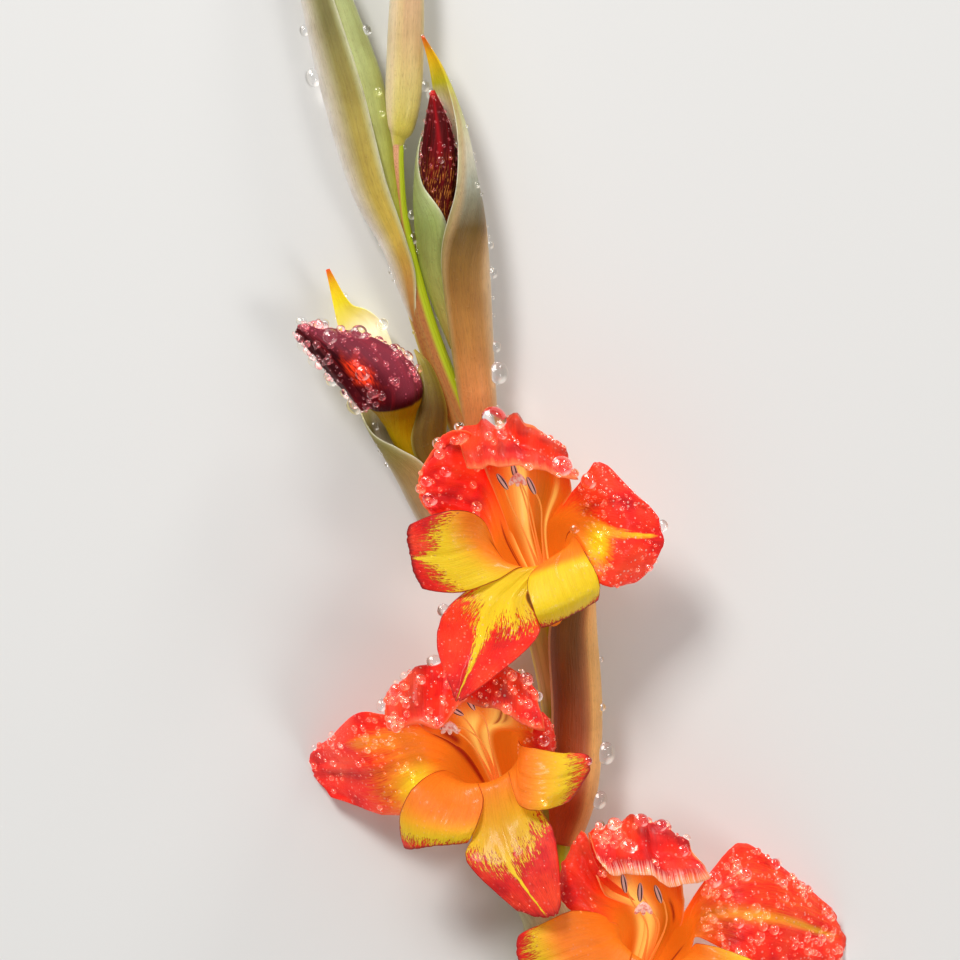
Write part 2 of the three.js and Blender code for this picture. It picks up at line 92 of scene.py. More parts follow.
# A function of t that gives the row of a line there, and its sideways and upward directions
def crossSections(rows):
    known, step = {}, 0.01

    def sectionAt(t):
        key = round(t, 6)
        if key not in known:
            ahead = Vector(sampleRows(rows, min(1, t + step))[:3])
            behind = Vector(sampleRows(rows, max(0, t - step))[:3])
            known[key] = (sampleRows(rows, t), *sideAndUp((ahead - behind).normalized()))
        return known[key]
    return sectionAt


# The point of a cross section at a turn round its line, counted from its side
def ringPoint(section, radius, turn):
    row, side, up = section
    return Vector(row[:3]) + side * radius * math.cos(turn) + up * radius * math.sin(turn)


def deselectAll():
    bpy.ops.object.select_all(action="DESELECT")


# A flat sheet whose rows become the rows of a blade or the rings of a round body
def addSheet(name, across, along):
    deselectAll()
    bpy.ops.mesh.primitive_grid_add(x_subdivisions=across, y_subdivisions=along, size=2, calc_uvs=True)
    sheet = bpy.context.object
    sheet.name = name
    return sheet


# Joins the chosen meshes into the first one
def joinAll(name, parts):
    deselectAll()
    for part in parts:
        part.select_set(True)
    bpy.context.view_layer.objects.active = parts[0]
    bpy.ops.object.join()
    piece = bpy.context.object
    piece.name = name
    piece.data.name = name
    return piece


# A blade over the surface(u, v), thin at its rim, with its front face up
def addBlade(name, surface, along, across, rimShare=0.35, bumpiness=None):
    blade = addSheet(name, across, along)
    spots = [((v.co.y + 1) / 2, v.co.x) for v in blade.data.vertices]
    for vertex, (u, v) in zip(blade.data.vertices, spots):
        vertex.co = inMetres(surface(u, v))
    if bumpiness:
        blade.data.update()
        normals = [v.normal.copy() for v in blade.data.vertices]
        for vertex, normal, (u, v) in zip(blade.data.vertices, normals, spots):
            vertex.co += normal * bumpiness(u, v) / 1000
    group = blade.vertex_groups.new(name="thick")
    for k, (u, v) in enumerate(spots):
        rim = min(1 - abs(v), 1 - u)
        group.add([k], rimShare + (1 - rimShare) * smooth(0, 0.12, rim), "REPLACE")
    return blade, spots


# Keeps a piece on the surface that it lies on
def settle(piece, lowest=0.00005):
    for vertex in piece.data.vertices:
        vertex.co.z = max(vertex.co.z, lowest)


# Turns all faces outwards; of a wrapped sheet, first joins the seam and closes the two ends
def turnOutwards(wrapped):
    bpy.ops.object.mode_set(mode="EDIT")
    bpy.ops.mesh.select_all(action="SELECT")
    if wrapped:
        bpy.ops.mesh.remove_doubles(threshold=1e-6)
        bpy.ops.mesh.select_all(action="SELECT")
        bpy.ops.mesh.fill_holes(sides=0)
        bpy.ops.mesh.select_all(action="SELECT")
    bpy.ops.mesh.normals_make_consistent(inside=False)
    bpy.ops.object.mode_set(mode="OBJECT")


def thicken(blade, thickness):
    bpy.context.view_layer.objects.active = blade
    solid = blade.modifiers.new("Solidify", "SOLIDIFY")
    solid.thickness, solid.offset, solid.vertex_group = thickness / 1000, 0, "thick"
    bpy.ops.object.modifier_apply(modifier=solid.name)
    turnOutwards(wrapped=False)
    bpy.ops.object.shade_smooth()
    settle(blade)


def closeRound():
    turnOutwards(wrapped=True)
    bpy.ops.object.shade_smooth_by_angle(angle=math.radians(50))


# A closed round body along rows of [x, y, z, radius]
def addRound(name, rows, along, sides, relief=None, thinnest=0.2):
    body, sectionAt = addSheet(name, sides, along), crossSections(rows)
    for vertex in body.data.vertices:
        t, turn = (vertex.co.y + 1) / 2, math.pi * (vertex.co.x + 1)
        section = sectionAt(t)
        radius = max(thinnest, section[0][3]) * (relief(t, turn) if relief else 1)
        vertex.co = inMetres(ringPoint(section, radius, turn))
    closeRound()
    return body


# Colour of a finish, given as on a screen
def tint(red, green, blue):
    def linear(value):
        value /= 255
        return value / 12.92 if value <= 0.04045 else ((value + 0.055) / 1.055) ** 2.4
    return (linear(red), linear(green), linear(blue), 1)


# Ramp stops from rows of place, red, green, blue and, where a colour is laid over another, its share
def painted(rows):
    return [(at, (*tint(*shade[:3])[:3], *(shade[3:] or [1]))) for at, *shade in rows]


def addNode(tree, kind, inputs=None, **settings):
    made = tree.nodes.new(kind)
    for key, value in settings.items():
        setattr(made, key, value)
    for key, value in (inputs or {}).items():
        if isinstance(value, bpy.types.NodeSocket):
            tree.links.new(value, made.inputs[key])
        else:
            made.inputs[key].default_value = value
    return made


# The node tree that the given sockets belong to
def treeOf(*values):
    return next(value.id_data for value in values if isinstance(value, bpy.types.NodeSocket))


def calc(operation, first, second=0.0, clamp=False):
    inputs = {0: first, 1: second}
    made = addNode(treeOf(first, second), "ShaderNodeMath", inputs, operation=operation, use_clamp=clamp)
    return made.outputs[0]


def times(first, second, clamp=False):
    return calc("MULTIPLY", first, second, clamp)


def plus(first, second, clamp=False):
    return calc("ADD", first, second, clamp)


def minus(first, second):
    return calc("SUBTRACT", first, second)


def mixed(factor, first, second, blend="MIX"):
    inputs = {0: factor, 6: first, 7: second}
    made = addNode(treeOf(*inputs.values()), "ShaderNodeMix", inputs, data_type="RGBA", blend_type=blend)
    return made.outputs[2]


# A colour ramp whose stops are colours, or plain numbers for greys
def rampNode(value, stops):
    made = addNode(treeOf(value), "ShaderNodeValToRGB", {0: value})
    while len(made.color_ramp.elements) < len(stops):
        made.color_ramp.elements.new(1)
    for element, (at, colour) in zip(made.color_ramp.elements, stops):
        element.position = at
        element.color = colour if isinstance(colour, tuple) else (colour, colour, colour, 1)
    return made


def ramp(value, stops):
    return rampNode(value, stops).outputs[0]


# Gives a surface its colour, and the colour of its faint glow
def colourIn(shader, colour, glow=None):
    tree = treeOf(colour)
    tree.links.new(colour, shader.inputs["Base Color"])
    tree.links.new(glow or colour, shader.inputs["Emission Color"])


# An empty shader group with its named inputs and outputs
def startGroup(name, inputs, outputs):
    group = bpy.data.node_groups.new(name, "ShaderNodeTree")
    for label, value in inputs.items():
        socket = group.interface.new_socket(name=label, in_out="INPUT", socket_type="NodeSocketFloat")
        socket.default_value = value
    for label in outputs:
        group.interface.new_socket(name=label, in_out="OUTPUT", socket_type="NodeSocketFloat")
    return group, group.nodes.new("NodeGroupInput"), group.nodes.new("NodeGroupOutput")


def uvOf(tree):
    uv = addNode(tree, "ShaderNodeUVMap", uv_map="UVMap").outputs[0]
    return addNode(tree, "ShaderNodeSeparateXYZ", {0: uv}).outputs[:2]


# Lines that run along a petal or bract: noise drawn out along the blade's own length
def makeVeins():
    sizes = {"Across": 40.0, "Along": 3.0, "Detail": 3.0}
    group, inside, outside = startGroup("plantVeins", sizes, ["Veins"])
    across, along = uvOf(group)
    across, along = times(across, inside.outputs["Across"]), times(along, inside.outputs["Along"])
    place = addNode(group, "ShaderNodeCombineXYZ", {0: across, 1: along, 2: 0.0}).outputs[0]
    inputs = {"Vector": place, "Scale": 1.0, "Detail": inside.outputs["Detail"], "Roughness": 0.6}
    veins = addNode(group, "ShaderNodeTexNoise", inputs, noise_dimensions="2D")
    group.links.new(veins.outputs[0], outside.inputs[0])
    return group


grain = {"blotches": 110.0, "beads": 1100.0, "bareShare": 0.45, "beadSize": 0.8, "beadEdge": 7.0}


# Tiny cells of plant skin, for the bump and for glints of fine wet
def makeSkin():
    group, inside, outside = startGroup("plantSkin", {"Scale": 1200}, ["Cells", "Blotches", "Beads"])
    place = addNode(group, "ShaderNodeTexCoord").outputs["Object"]
    scale = inside.outputs["Scale"]
    cells = addNode(group, "ShaderNodeTexNoise", {"Vector": place, "Scale": scale, "Detail": 2.0})
    inputs = {"Vector": place, "Scale": grain["blotches"], "Detail": 4.0}
    blotches = addNode(group, "ShaderNodeTexNoise", inputs)
    nearest = addNode(group, "ShaderNodeTexVoronoi", {"Vector": place, "Scale": grain["beads"]})
    chance = addNode(group, "ShaderNodeSeparateColor", {0: nearest.outputs["Color"]}).outputs[0]
    size = times(minus(chance, grain["bareShare"]), grain["beadSize"], clamp=True)
    beads = times(minus(size, nearest.outputs["Distance"]), grain["beadEdge"], clamp=True)
    for value, socket in zip((cells.outputs[0], blotches.outputs[0], beads), outside.inputs):
        group.links.new(value, socket)
    return group


plantVeins = makeVeins()
plantSkin = makeSkin()


def veinsIn(tree, across, along, detail=3.0):
    made = addNode(tree, "ShaderNodeGroup", node_tree=plantVeins)
    for socket, value in zip(made.inputs, (across, along, detail)):
        socket.default_value = value
    return made.outputs[0]


def skinIn(tree, scale):
    made = addNode(tree, "ShaderNodeGroup", node_tree=plantSkin)
    made.inputs[0].default_value = scale
    return list(made.outputs)


def channels(tree, name):
    made = addNode(tree, "ShaderNodeAttribute", attribute_name=name)
    parts = addNode(tree, "ShaderNodeSeparateColor", {0: made.outputs["Color"]})
    return [*parts.outputs, made.outputs["Alpha"]]


# Bumps the surface by veins and cells, depths in mm
def roughen(tree, shader, veins, veinDepth, cells, cellDepth):
    fine = addNode(tree, "ShaderNodeBump", {"Height": cells, "Strength": 1.0, "Distance": cellDepth / 1000})
    inputs = {"Height": veins, "Strength": 1.0, "Distance": veinDepth / 1000, "Normal": fine.outputs[0]}
    bump = addNode(tree, "ShaderNodeBump", inputs)
    tree.links.new(bump.outputs[0], shader.inputs["Normal"])


def startMaterial(name, roughness, coat, coatRoughness, specular=0.5, glow=0.0, softness=0.0):
    material = bpy.data.materials.new(name)
    material.use_nodes = True
    material.cycles.emission_sampling = "NONE"  # the glow is too weak to be sampled as a lamp
    tree = material.node_tree
    shader = tree.nodes["Principled BSDF"]
    settings = {
        "Roughness": roughness, "Coat Weight": coat, "Coat Roughness": coatRoughness,
        "Specular IOR Level": specular, "Subsurface Weight": softness, "Subsurface Scale": 0.001,
        "Emission Strength": glow,
    }
    for key, value in settings.items():
        shader.inputs[key].default_value = value
    return material, tree, shader


# Petals

petalLook = {
    "yellow": tint(238, 200, 24), "amber": tint(250, 126, 26), "scarlet": tint(250, 30, 14),
    "crimson": tint(182, 8, 16), "coral": tint(255, 78, 36), "dash": tint(140, 18, 8),
    "oliveShade": tint(208, 122, 22), "guide": tint(150, 26, 14), "cream": tint(255, 222, 110),
    "rim": tint(150, 18, 16), "paleRim": tint(255, 150, 84),
    "finish": dict(roughness=0.45, coat=0.10, coatRoughness=0.12, specular=0.3, glow=0.34, softness=0.08),
    "glint": tint(255, 204, 184), "cells": 1500, "veinBump": 0.26, "cellBump": 0.08,
    "veins": (80, 4), "streaks": (26, 4, 4.0), "streakPull": 1.5, "dashes": (84, 24, 3.0), "dashPull": 2.6,
    "coralIn": [(0.42, 0), (0.70, 1)], "crimsonIn": [(0.32, 0.6), (0.45, 0)],
    "window": 6.0, "featherWidth": 0.82, "coralShare": 0.7, "dashEdge": 1.4, "dashShare": 0.6,
    "meetingShare": 3.4, "veinShare": 0.5, "glintShare": 0.5, "rimWaver": 0.03, "rimFrom": 0.964,
    "rimEdge": 34.0, "lipHighlightFrom": 0.945, "lipHighlightEdge": 30.0, "ribFrom": 0.46, "ribEdge": 7.0,
    "light": 0.4, "lightByGlow": 0.7, "lightByRib": 0.5, "beadShine": 0.3, "veinRelief": 0.6,
    "veinShade": [(0.30, (0.80, 0.76, 0.78, 1)), (0.62, 1)], "wetRoughness": [(0.35, 0.56), (0.65, 0.40)],
}


def makePetalMaterial():
    look = petalLook
    material, tree, shader = startMaterial("wetPetal", **look["finish"])
    red, amber, feather, glow = channels(tree, "tone")
    rim, guide, rib, paleRim = channels(tree, "marks")
    crimson, oliveShade, dashDark, wetness = channels(tree, "depth")
    cells, blotches, beads = skinIn(tree, look["cells"])

    # Red laid over yellow, feathered into streaks and dashes along the veins
    streaks = times(minus(veinsIn(tree, *look["streaks"]), 0.5), look["streakPull"])
    dashes = times(minus(veinsIn(tree, *look["dashes"]), 0.5), look["dashPull"])
    window = times(times(red, minus(1.0, red)), look["window"], clamp=True)
    shift = times(times(plus(streaks, dashes), feather), window)
    width = minus(1.0, times(feather, look["featherWidth"]))
    edge = calc("DIVIDE", minus(plus(red, shift), 0.5), width)
    redMask = plus(edge, 0.5, clamp=True)

    # crimson: the tepal's deeper red, with painted shade added in the folds' valleys
    redColour = mixed(crimson, look["scarlet"], look["crimson"])
    coralShare = times(ramp(blotches, look["coralIn"]), look["coralShare"])
    redColour = mixed(coralShare, redColour, look["coral"])
    redColour = mixed(ramp(blotches, look["crimsonIn"]), redColour, look["crimson"])
    dashed = times(times(dashes, look["dashEdge"], clamp=True), times(dashDark, look["dashShare"]))
    redColour = mixed(dashed, redColour, look["dash"])
    # Olive over the amber and yellow ground is painted shade: in the deep throat, where it is partly the
    # tepal's own tone, and in the olive marks
    ground = mixed(oliveShade, mixed(amber, look["yellow"], look["amber"]), look["oliveShade"])
    ground = mixed(rib, ground, look["cream"])
    colour = mixed(redMask, ground, redColour)

    # Dashes are darkest where red and yellow meet
    between = times(redMask, minus(1.0, redMask))
    dark = times(times(between, look["meetingShare"]), times(dashDark, feather), clamp=True)
    colour = mixed(dark, colour, look["dash"])
    colour = mixed(guide, colour, look["guide"])

    # Fine veins, painted glints on fine wet beads, a thin rim and a painted highlight on the lip
    veins = veinsIn(tree, *look["veins"])
    colour = mixed(look["veinShare"], colour, ramp(veins, look["veinShade"]), "MULTIPLY")
    beads = times(beads, wetness)
    colour = mixed(times(beads, look["glintShare"]), colour, look["glint"])
    across, along = uvOf(tree)
    across = calc("ABSOLUTE", minus(times(across, 2.0), 1.0))
    nearRim = plus(calc("MAXIMUM", across, along), times(streaks, look["rimWaver"]))
    rimLine = times(minus(nearRim, look["rimFrom"]), look["rimEdge"], clamp=True)
    colour = mixed(times(rimLine, rim), colour, look["rim"])
    # The pale rim line is partly a painted highlight
    colour = mixed(times(rimLine, paleRim), colour, look["paleRim"])
    # Painted highlight: pale ribbed stripes along the lip's outermost band, where paleRim is above one half
    lip = times(minus(along, look["lipHighlightFrom"]), look["lipHighlightEdge"], clamp=True)
    ribbed = times(minus(veins, look["ribFrom"]), look["ribEdge"], clamp=True)
    lipHighlight = times(times(lip, ribbed), times(minus(paleRim, 0.5), 2.0, clamp=True))
    colour = mixed(lipHighlight, colour, look["glint"])

    # Painted glow: the emission is stronger in the throat and on fold ridges, from the glow channel, and on
    # the pale ribs
    light = plus(plus(times(glow, look["lightByGlow"]), look["light"]), times(rib, look["lightByRib"]))
    colourIn(shader, colour, mixed(1.0, colour, light, "MULTIPLY"))
    wet = ramp(blotches, look["wetRoughness"])
    tree.links.new(minus(wet, times(beads, look["beadShine"])), shader.inputs["Roughness"])
    relief = plus(times(veins, look["veinRelief"]), beads)
    roughen(tree, shader, relief, look["veinBump"], cells, look["cellBump"])
    return material


# Blooms, in mm. tube: from the ovary to the floor of the throat, [x, y, z, radius]; mouth: middle of the
# throat's opening.
# Form of a tepal. rows: three stations past the mouth, each with left edge, midrib and right edge as seen
# by someone looking out from the throat; angle: where it leaves the mouth, in degrees; wave: height of the
# rim's ripple; crumple: height of the fine folds; corner: how far the outer corners are rounded; creases:
# folds between two places, [along, across, along, across, width, height]; lobes: where the tip hangs out
# further, [across, half width, shift].
# Colours of a tepal, with places along from 0 (throat) to 1 (tip) and across from -1 to 1. red: where red
# starts at left edge, midrib and right edge, over a blend this long; amber: amber up to the first place and
# yellow from the second, moved across by amberSide; feather: how ragged the red begins; dash: how dark its
# dashes are; stripe: place across, half width and reach of a yellow stripe; fade: where red and amber give
# way to yellow, [along, across, reach along, reach across, share]; ribs: pale throat marks, [across, half
# width left, half width right, reach]; guides: dark throat marks, [across, half width, from, to]; the two
# olive marks, in the middle and at the side: olive painted shade in the throat, [across, half width,
# reach]; rim, paleRim: dark and pale rim lines, the pale one partly a painted highlight, and paleRim also
# sets the painted highlight on the lip; crimson: deeper red; bright: more painted glow; wet: fine beads
blooms = {
    "A": dict(mouth=[14, -17, 24], tube=[[25.2, -78, 14.4, 2.3], [26.2, -62, 13.6, 2.5],
        [24.4, -44, 13.6, 2.7], [17.3, -29, 16.6, 3.6]], tepals=[
        dict(angle=90, wave=0.6, crumple=0.9, corner=0.03,
            rows=[[[1.5, 2, 30], [12, 4, 20.5], [23, -2, 30]],
            [[-5.5, 12.2, 35.5], [7.5, 14.4, 35], [20.5, 8.6, 38]],
            [[-3, 1.4, 42], [9, 3, 48.5], [25.4, -1.4, 43.5]]], red=(0.46, 0.56, 0.5), blend=0.14,
            amber=(0.9, 1.2), feather=0.15, paleRim=0.5, fade=[(0.77, 0.46, 0.06, 0.36, 0.45)], wet=0.35,
            ribs=[(-0.14, 0.4, 0.09, 0.66), (0.74, 0.07, 0.05, 0.6)], oliveShade=(0.4, 0.34, 0.6),
            creases=[(0.56, -0.34, 0.84, -0.46, 1.3, -1.3), (0.56, 0.06, 0.82, 0.1, 1.4, -2.6),
            (0.74, -0.42, 0.87, 0.1, 0.8, 1.6), (0.87, 0.1, 0.93, 0.98, 0.8, 2.2),
            (0.82, 0.0, 0.87, 0.95, 0.7, -2), (0.8, -0.3, 0.94, -0.2, 0.8, -0.8),
            (0.92, -0.9, 0.94, 0.9, 1, -0.6)]),
        dict(angle=150, wave=0.8, crumple=0.8, corner=0.05,
            rows=[[[1, -11, 27], [1, -3, 26.5], [2.5, 7, 30]],
            [[-8, -8.5, 31], [-9, 1, 34], [-4.6, 12.6, 40.5]],
            [[-12.8, -8.6, 29], [-15.4, -1, 31], [-10.6, 10.6, 36]]], red=(0.46, 0.4, 0.34), blend=0.18,
            amber=(0.9, 1.2), feather=0.1, paleRim=0.3, bright=0.7, ribs=[(0.95, 0.22, 0.2, 0.4)],
            guides=[(0.36, 0.06, 0.08, 0.36), (0.46, 0.03, 0.12, 0.3)],
            creases=[(0.45, -0.5, 0.95, -0.55, 1.5, -0.6), (0.5, 0.25, 0.9, 0.35, 1.3, 0.9),
            (0.6, 0.62, 0.95, 0.62, 1.2, -1)]),
        dict(angle=210, wave=0.5, crumple=0.25, corner=0.03,
            rows=[[[3.6, -25.5, 31], [-0.2, -17.3, 30], [0.3, -9.4, 29.5]],
            [[-5.5, -28.3, 31], [-8.8, -18.8, 32], [-7.9, -7.5, 34]],
            [[-15.7, -27.1, 28], [-17.7, -18.8, 30], [-18.9, -11.6, 30]]], red=(0.76, 0.86, 0.76),
            amberSide=0.2, amber=(0.4, 0.72), feather=0.85, stripe=(-0.08, 0.14, 1),
            guides=[(0.62, 0.07, 0.12, 0.42)], rim=1, crimson=0.2, dash=0.9, oliveShadeSide=(0.7, 0.6, 0.75)),
        dict(angle=270, wave=0.6, crumple=0.4, corner=0.04,
            rows=[[[11.8, -28.3, 33], [4.6, -30.7, 32], [-5.5, -29.3, 28]],
            [[14.6, -38.9, 40], [1.2, -41.7, 41], [-11, -39.3, 37]],
            [[-3, -54.2, 51], [-5.7, -55, 51.5], [-7.2, -52.5, 50]]], red=(0.66, 0.62, 0.46), blend=0.16,
            amber=(0.18, 0.32), feather=0.9, stripe=(0.14, 0.15, 1.02), rim=0.6, dash=0.7, crimson=0.12,
            wet=0.45, creases=[(0.45, 0.12, 1, 0.15, 1.1, -0.5), (0.4, -0.4, 0.85, -0.3, 1.5, 0.4)]),
        dict(angle=330, wave=0.4, crumple=0.2, corner=0.04,
            rows=[[[27, -19.4, 31], [19.4, -21.5, 35], [12, -24.4, 36]],
            [[30, -26, 33], [22, -29.6, 38], [13.4, -33, 40]],
            [[29.5, -30.7, 29], [22.6, -34, 33.5], [15.6, -37.6, 35.5]]], red=(0.92, 1, 0.92), blend=0.12,
            amber=(0.44, 0.54), feather=0.9, rim=1, dash=0.9, oliveShade=(0.1, 0.9, 0.52)),
        dict(angle=30, wave=1, crumple=0.6, corner=0.02,
            rows=[[[24.7, -1, 30], [26.6, -10.6, 27], [27.6, -20.2, 27]],
            [[29.5, 4.7, 34], [35.2, -12.5, 34], [30.4, -26.4, 31]],
            [[38.1, -3, 30], [46, -13.5, 28], [40, -25.5, 26]]], red=(0.36, 0.56, 0.66), blend=0.16,
            amber=(0.6, 1), feather=0.4, wet=1, stripe=(0.06, 0.1, 0.96), guides=[(0.5, 0.05, 0.18, 0.42)],
            fade=[(0.6, 0.38, 0.09, 0.34, 1.3)], crimson=0.1, bright=0.8,
            creases=[(0.42, 0.45, 0.66, 0.95, 1.6, 1.1), (0.5, -0.35, 0.95, -0.5, 1.3, -0.7)]),
    ]),
    "B": dict(mouth=[1.5, -70, 22], tube=[[17.4, -119, 15.8, 2.2], [15.5, -108, 15.2, 2.2],
        [10.8, -94, 13.6, 2.6], [6, -81, 12.5, 3.6]], tepals=[
        dict(angle=90, wave=0.8, crumple=1, corner=0.05,
            rows=[[[-14.4, -62, 30], [-0.5, -57.6, 21], [13.3, -63, 29]],
            [[-23.7, -54.6, 34], [-3, -44.2, 32], [14.3, -53.6, 34]],
            [[-22.8, -62.5, 37], [-4.5, -55.5, 43], [16.4, -66, 37]]], lobes=[(-0.36, 0.24, (0.5, -6, 0)),
            (-0.85, 0.3, (0, -3, -1))], red=(0.5, 0.58, 0.56), amber=(0.6, 1), feather=0.12, crimson=0.1,
            paleRim=0.3, wet=1, ribs=[(-0.1, 0.25, 0.2, 0.6), (0.44, 0.3, 0.26, 0.78)],
            guides=[(0.42, 0.035, 0.38, 0.62), (0.54, 0.03, 0.42, 0.62), (-0.84, 0.14, 0.26, 0.46)],
            creases=[(0.6, -0.6, 0.92, -0.62, 1.2, -1.1), (0.6, 0.3, 0.92, 0.5, 1.2, -1.1),
            (0.6, -0.2, 0.96, -0.3, 1.1, 1), (0.82, -0.1, 0.9, 0.9, 0.9, 1),
            (0.62, 0.8, 0.9, 0.78, 0.9, -0.8)]),
        dict(angle=150, wave=1, crumple=0.6, corner=0.0,
            rows=[[[-14.6, -78.4, 24.5], [-15.3, -67, 26], [-17.3, -60.5, 31]],
            [[-20.8, -84.2, 17], [-28.7, -70.9, 22], [-30.2, -58.2, 29]],
            [[-37.6, -79.8, 4], [-42.8, -71.9, 0.8], [-40.6, -67, 8]]], red=(0.72, 0.66, 0.44), blend=0.2,
            amber=(0.8, 1.2), feather=0.36, wet=0.4, stripe=(0.4, 0.22, 0.8),
            fade=[(0.54, -0.74, 0.13, 0.34, 1.1)], dash=0.1, bright=1, guides=[(0.74, 0.2, 0.05, 0.46)],
            creases=[(0.35, -0.3, 0.92, -0.25, 1.6, -0.8), (0.3, 0.45, 0.8, 0.5, 1.5, 0.8)]),
        dict(angle=210, wave=0.4, crumple=0.2, corner=0.03,
            rows=[[[1, -80.3, 31], [-7.4, -80.8, 31], [-15.8, -75.9, 29.5]],
            [[-1, -87.2, 33], [-10.4, -87.2, 33], [-20.3, -84.3, 28]],
            [[-3.5, -91.2, 31], [-11.9, -91.7, 31], [-18.8, -93.2, 25]]], red=(0.94, 0.96, 0.88),
            amber=(0.6, 0.92), feather=0.9, rim=0.9, dash=0.8),
        dict(angle=270, wave=0.5, crumple=0.3, corner=0.02,
            rows=[[[15.5, -82.5, 31], [5.4, -86.4, 32], [-2, -88.7, 30]],
            [[19.3, -91.2, 35], [8.9, -96.6, 36], [-3, -96.1, 33]],
            [[20.3, -107.5, 38], [17.3, -109.2, 39], [10.4, -108.7, 37]]], red=(0.54, 0.72, 0.66),
            blend=0.18, amber=(0.3, 0.54), feather=0.95, stripe=(0.1, 0.07, 1), rim=0.7, crimson=0.5,
            dash=0.9, oliveShadeSide=(0.1, 0.9, 0.86)),
        dict(angle=330, wave=0.5, crumple=0.3, corner=0.02,
            rows=[[[10.9, -66.5, 30], [10.4, -73.9, 33], [9.9, -81.3, 34.5]],
            [[19.3, -67.9, 33], [18.3, -74.9, 36], [16.3, -82.5, 36]],
            [[26.2, -68.4, 31], [27.7, -71.9, 31], [22.7, -80.3, 31]]], red=(0.86, 0.92, 0.92),
            amber=(0.52, 0.9), feather=0.8, rim=0.9, dash=0.8),
        dict(angle=30, wave=0.5, crumple=0.5, corner=0.02,
            rows=[[[10.9, -57.6, 28], [12, -62.5, 27], [9.9, -68.9, 26]],
            [[15, -58, 30], [16.8, -63.5, 30], [15.2, -68.9, 28]],
            [[17.4, -60.5, 24], [19, -65, 23.5], [18.2, -68.9, 22.5]]], red=(0.4, 0.5, 0.6),
            amber=(0.9, 1.2), feather=0.2, wet=0.6, paleRim=0.4),
    ]),
    "C": dict(mouth=[43.5, -115.5, 22], tube=[[19, -158, 14.4, 2.2], [23.5, -148, 13.8, 2.3],
        [31, -137.5, 13, 2.6], [39, -127.5, 12.5, 3.6]], tepals=[
        dict(angle=90, wave=0.8, crumple=1.1, corner=0.05,
            rows=[[[30.2, -102.5, 29], [40.8, -99.7, 21], [50.9, -105.2, 29]],
            [[26.9, -88.5, 34], [39.2, -85.2, 34], [50.9, -90.7, 36]],
            [[29.7, -95.2, 42], [42.5, -98.8, 47], [59.8, -101.9, 41]]], red=(0.5, 0.58, 0.54),
            amber=(0.5, 0.9), feather=0.12, paleRim=0.9, wet=0.4, ribs=[(-0.6, 0.4, 0.4, 0.62)],
            oliveShade=(0.3, 0.34, 0.56), guides=[(0.66, 0.06, 0.26, 0.48)],
            creases=[(0.52, -0.45, 0.86, 0.05, 1.2, -1.8), (0.6, -0.62, 0.9, -0.2, 0.9, 1.4),
            (0.87, -0.5, 0.9, 0.9, 0.8, 1.5), (0.8, 0.1, 0.84, 0.95, 0.9, -1.2),
            (0.6, 0.45, 0.8, 0.5, 1, -0.9), (0.95, -0.6, 0.96, 0.8, 0.7, -0.7)],
            lobes=[(-0.7, 0.3, (0, -2.5, -1)), (0.4, 0.3, (0, -1.5, 0))]),
        dict(angle=150, wave=0.8, crumple=0.7, corner=0.04,
            rows=[[[30.2, -110.3, 28], [28.6, -103.6, 28], [30.2, -97.4, 31]],
            [[23, -108, 30], [23, -98, 32], [26.9, -89, 34]],
            [[19.9, -104.7, 29], [20.5, -96.9, 28], [25.2, -87.4, 31]]], red=(0.44, 0.42, 0.36), blend=0.18,
            amber=(0.8, 1.2), feather=0.05, paleRim=0.3, ribs=[(0.75, 0.3, 0.4, 0.4)],
            creases=[(0.4, 0.0, 0.95, 0.1, 1.6, 0.9)]),
        dict(angle=210, wave=0.5, crumple=0.25, corner=0.03,
            rows=[[[35.3, -123.7, 31], [29.7, -115.9, 31], [24.7, -107.5, 31.5]],
            [[24.7, -128.7, 32], [19.1, -119.2, 34], [16.3, -110.3, 33]],
            [[15.2, -129.2, 28], [10.2, -122, 30], [8.8, -114.2, 30]]], red=(0.9, 0.93, 0.85),
            amber=(0.66, 0.92), feather=0.75, rim=0.6, dash=0.5),
        dict(angle=270, wave=0.6, crumple=0.35, corner=0.04,
            rows=[[[51, -127, 33], [44, -129.5, 33], [36, -127.5, 31]],
            [[55.5, -138, 37], [44.5, -142, 38], [33, -139, 35]],
            [[47, -155.5, 42], [43.5, -157, 43], [39.5, -154.5, 42]]], red=(0.66, 0.72, 0.62),
            amber=(0.34, 0.56), feather=0.85, stripe=(0.0, 0.12, 1), rim=0.6, dash=0.6),
        dict(angle=330, wave=0.5, crumple=0.25, corner=0.03,
            rows=[[[55.4, -115.9, 31], [57, -122.5, 34], [52, -129, 34.5]],
            [[67, -119.5, 33], [67, -128, 35], [60, -135.5, 35]],
            [[72, -125, 27], [73, -131, 28], [66, -138.5, 29]]], red=(0.86, 0.92, 0.9), amber=(0.5, 0.8),
            feather=0.8, rim=0.8, dash=0.7),
        dict(angle=30, wave=1, crumple=0.7, corner=0.0,
            rows=[[[56.5, -99.7, 29], [56.5, -108, 27], [54.8, -114.2, 28]],
            [[65.4, -90.7, 25], [72.7, -107.5, 22], [67.6, -121.4, 22]],
            [[80.5, -100.8, 12], [91.9, -114.2, 1], [86.6, -123.7, 6]]], red=(0.4, 0.5, 0.56), blend=0.18,
            amber=(0.7, 1.15), feather=0.2, wet=0.6, fade=[(0.82, -0.4, 0.3, 0.9, 0.15)], bright=0.5,
            stripe=(0.13, 0.17, 0.96), guides=[(0.06, 0.08, 0.1, 0.26)],
            creases=[(0.3, 0.1, 0.95, 0.15, 1.3, -0.7), (0.4, -0.5, 0.9, -0.45, 1.5, 0.7)]),
    ]),
}
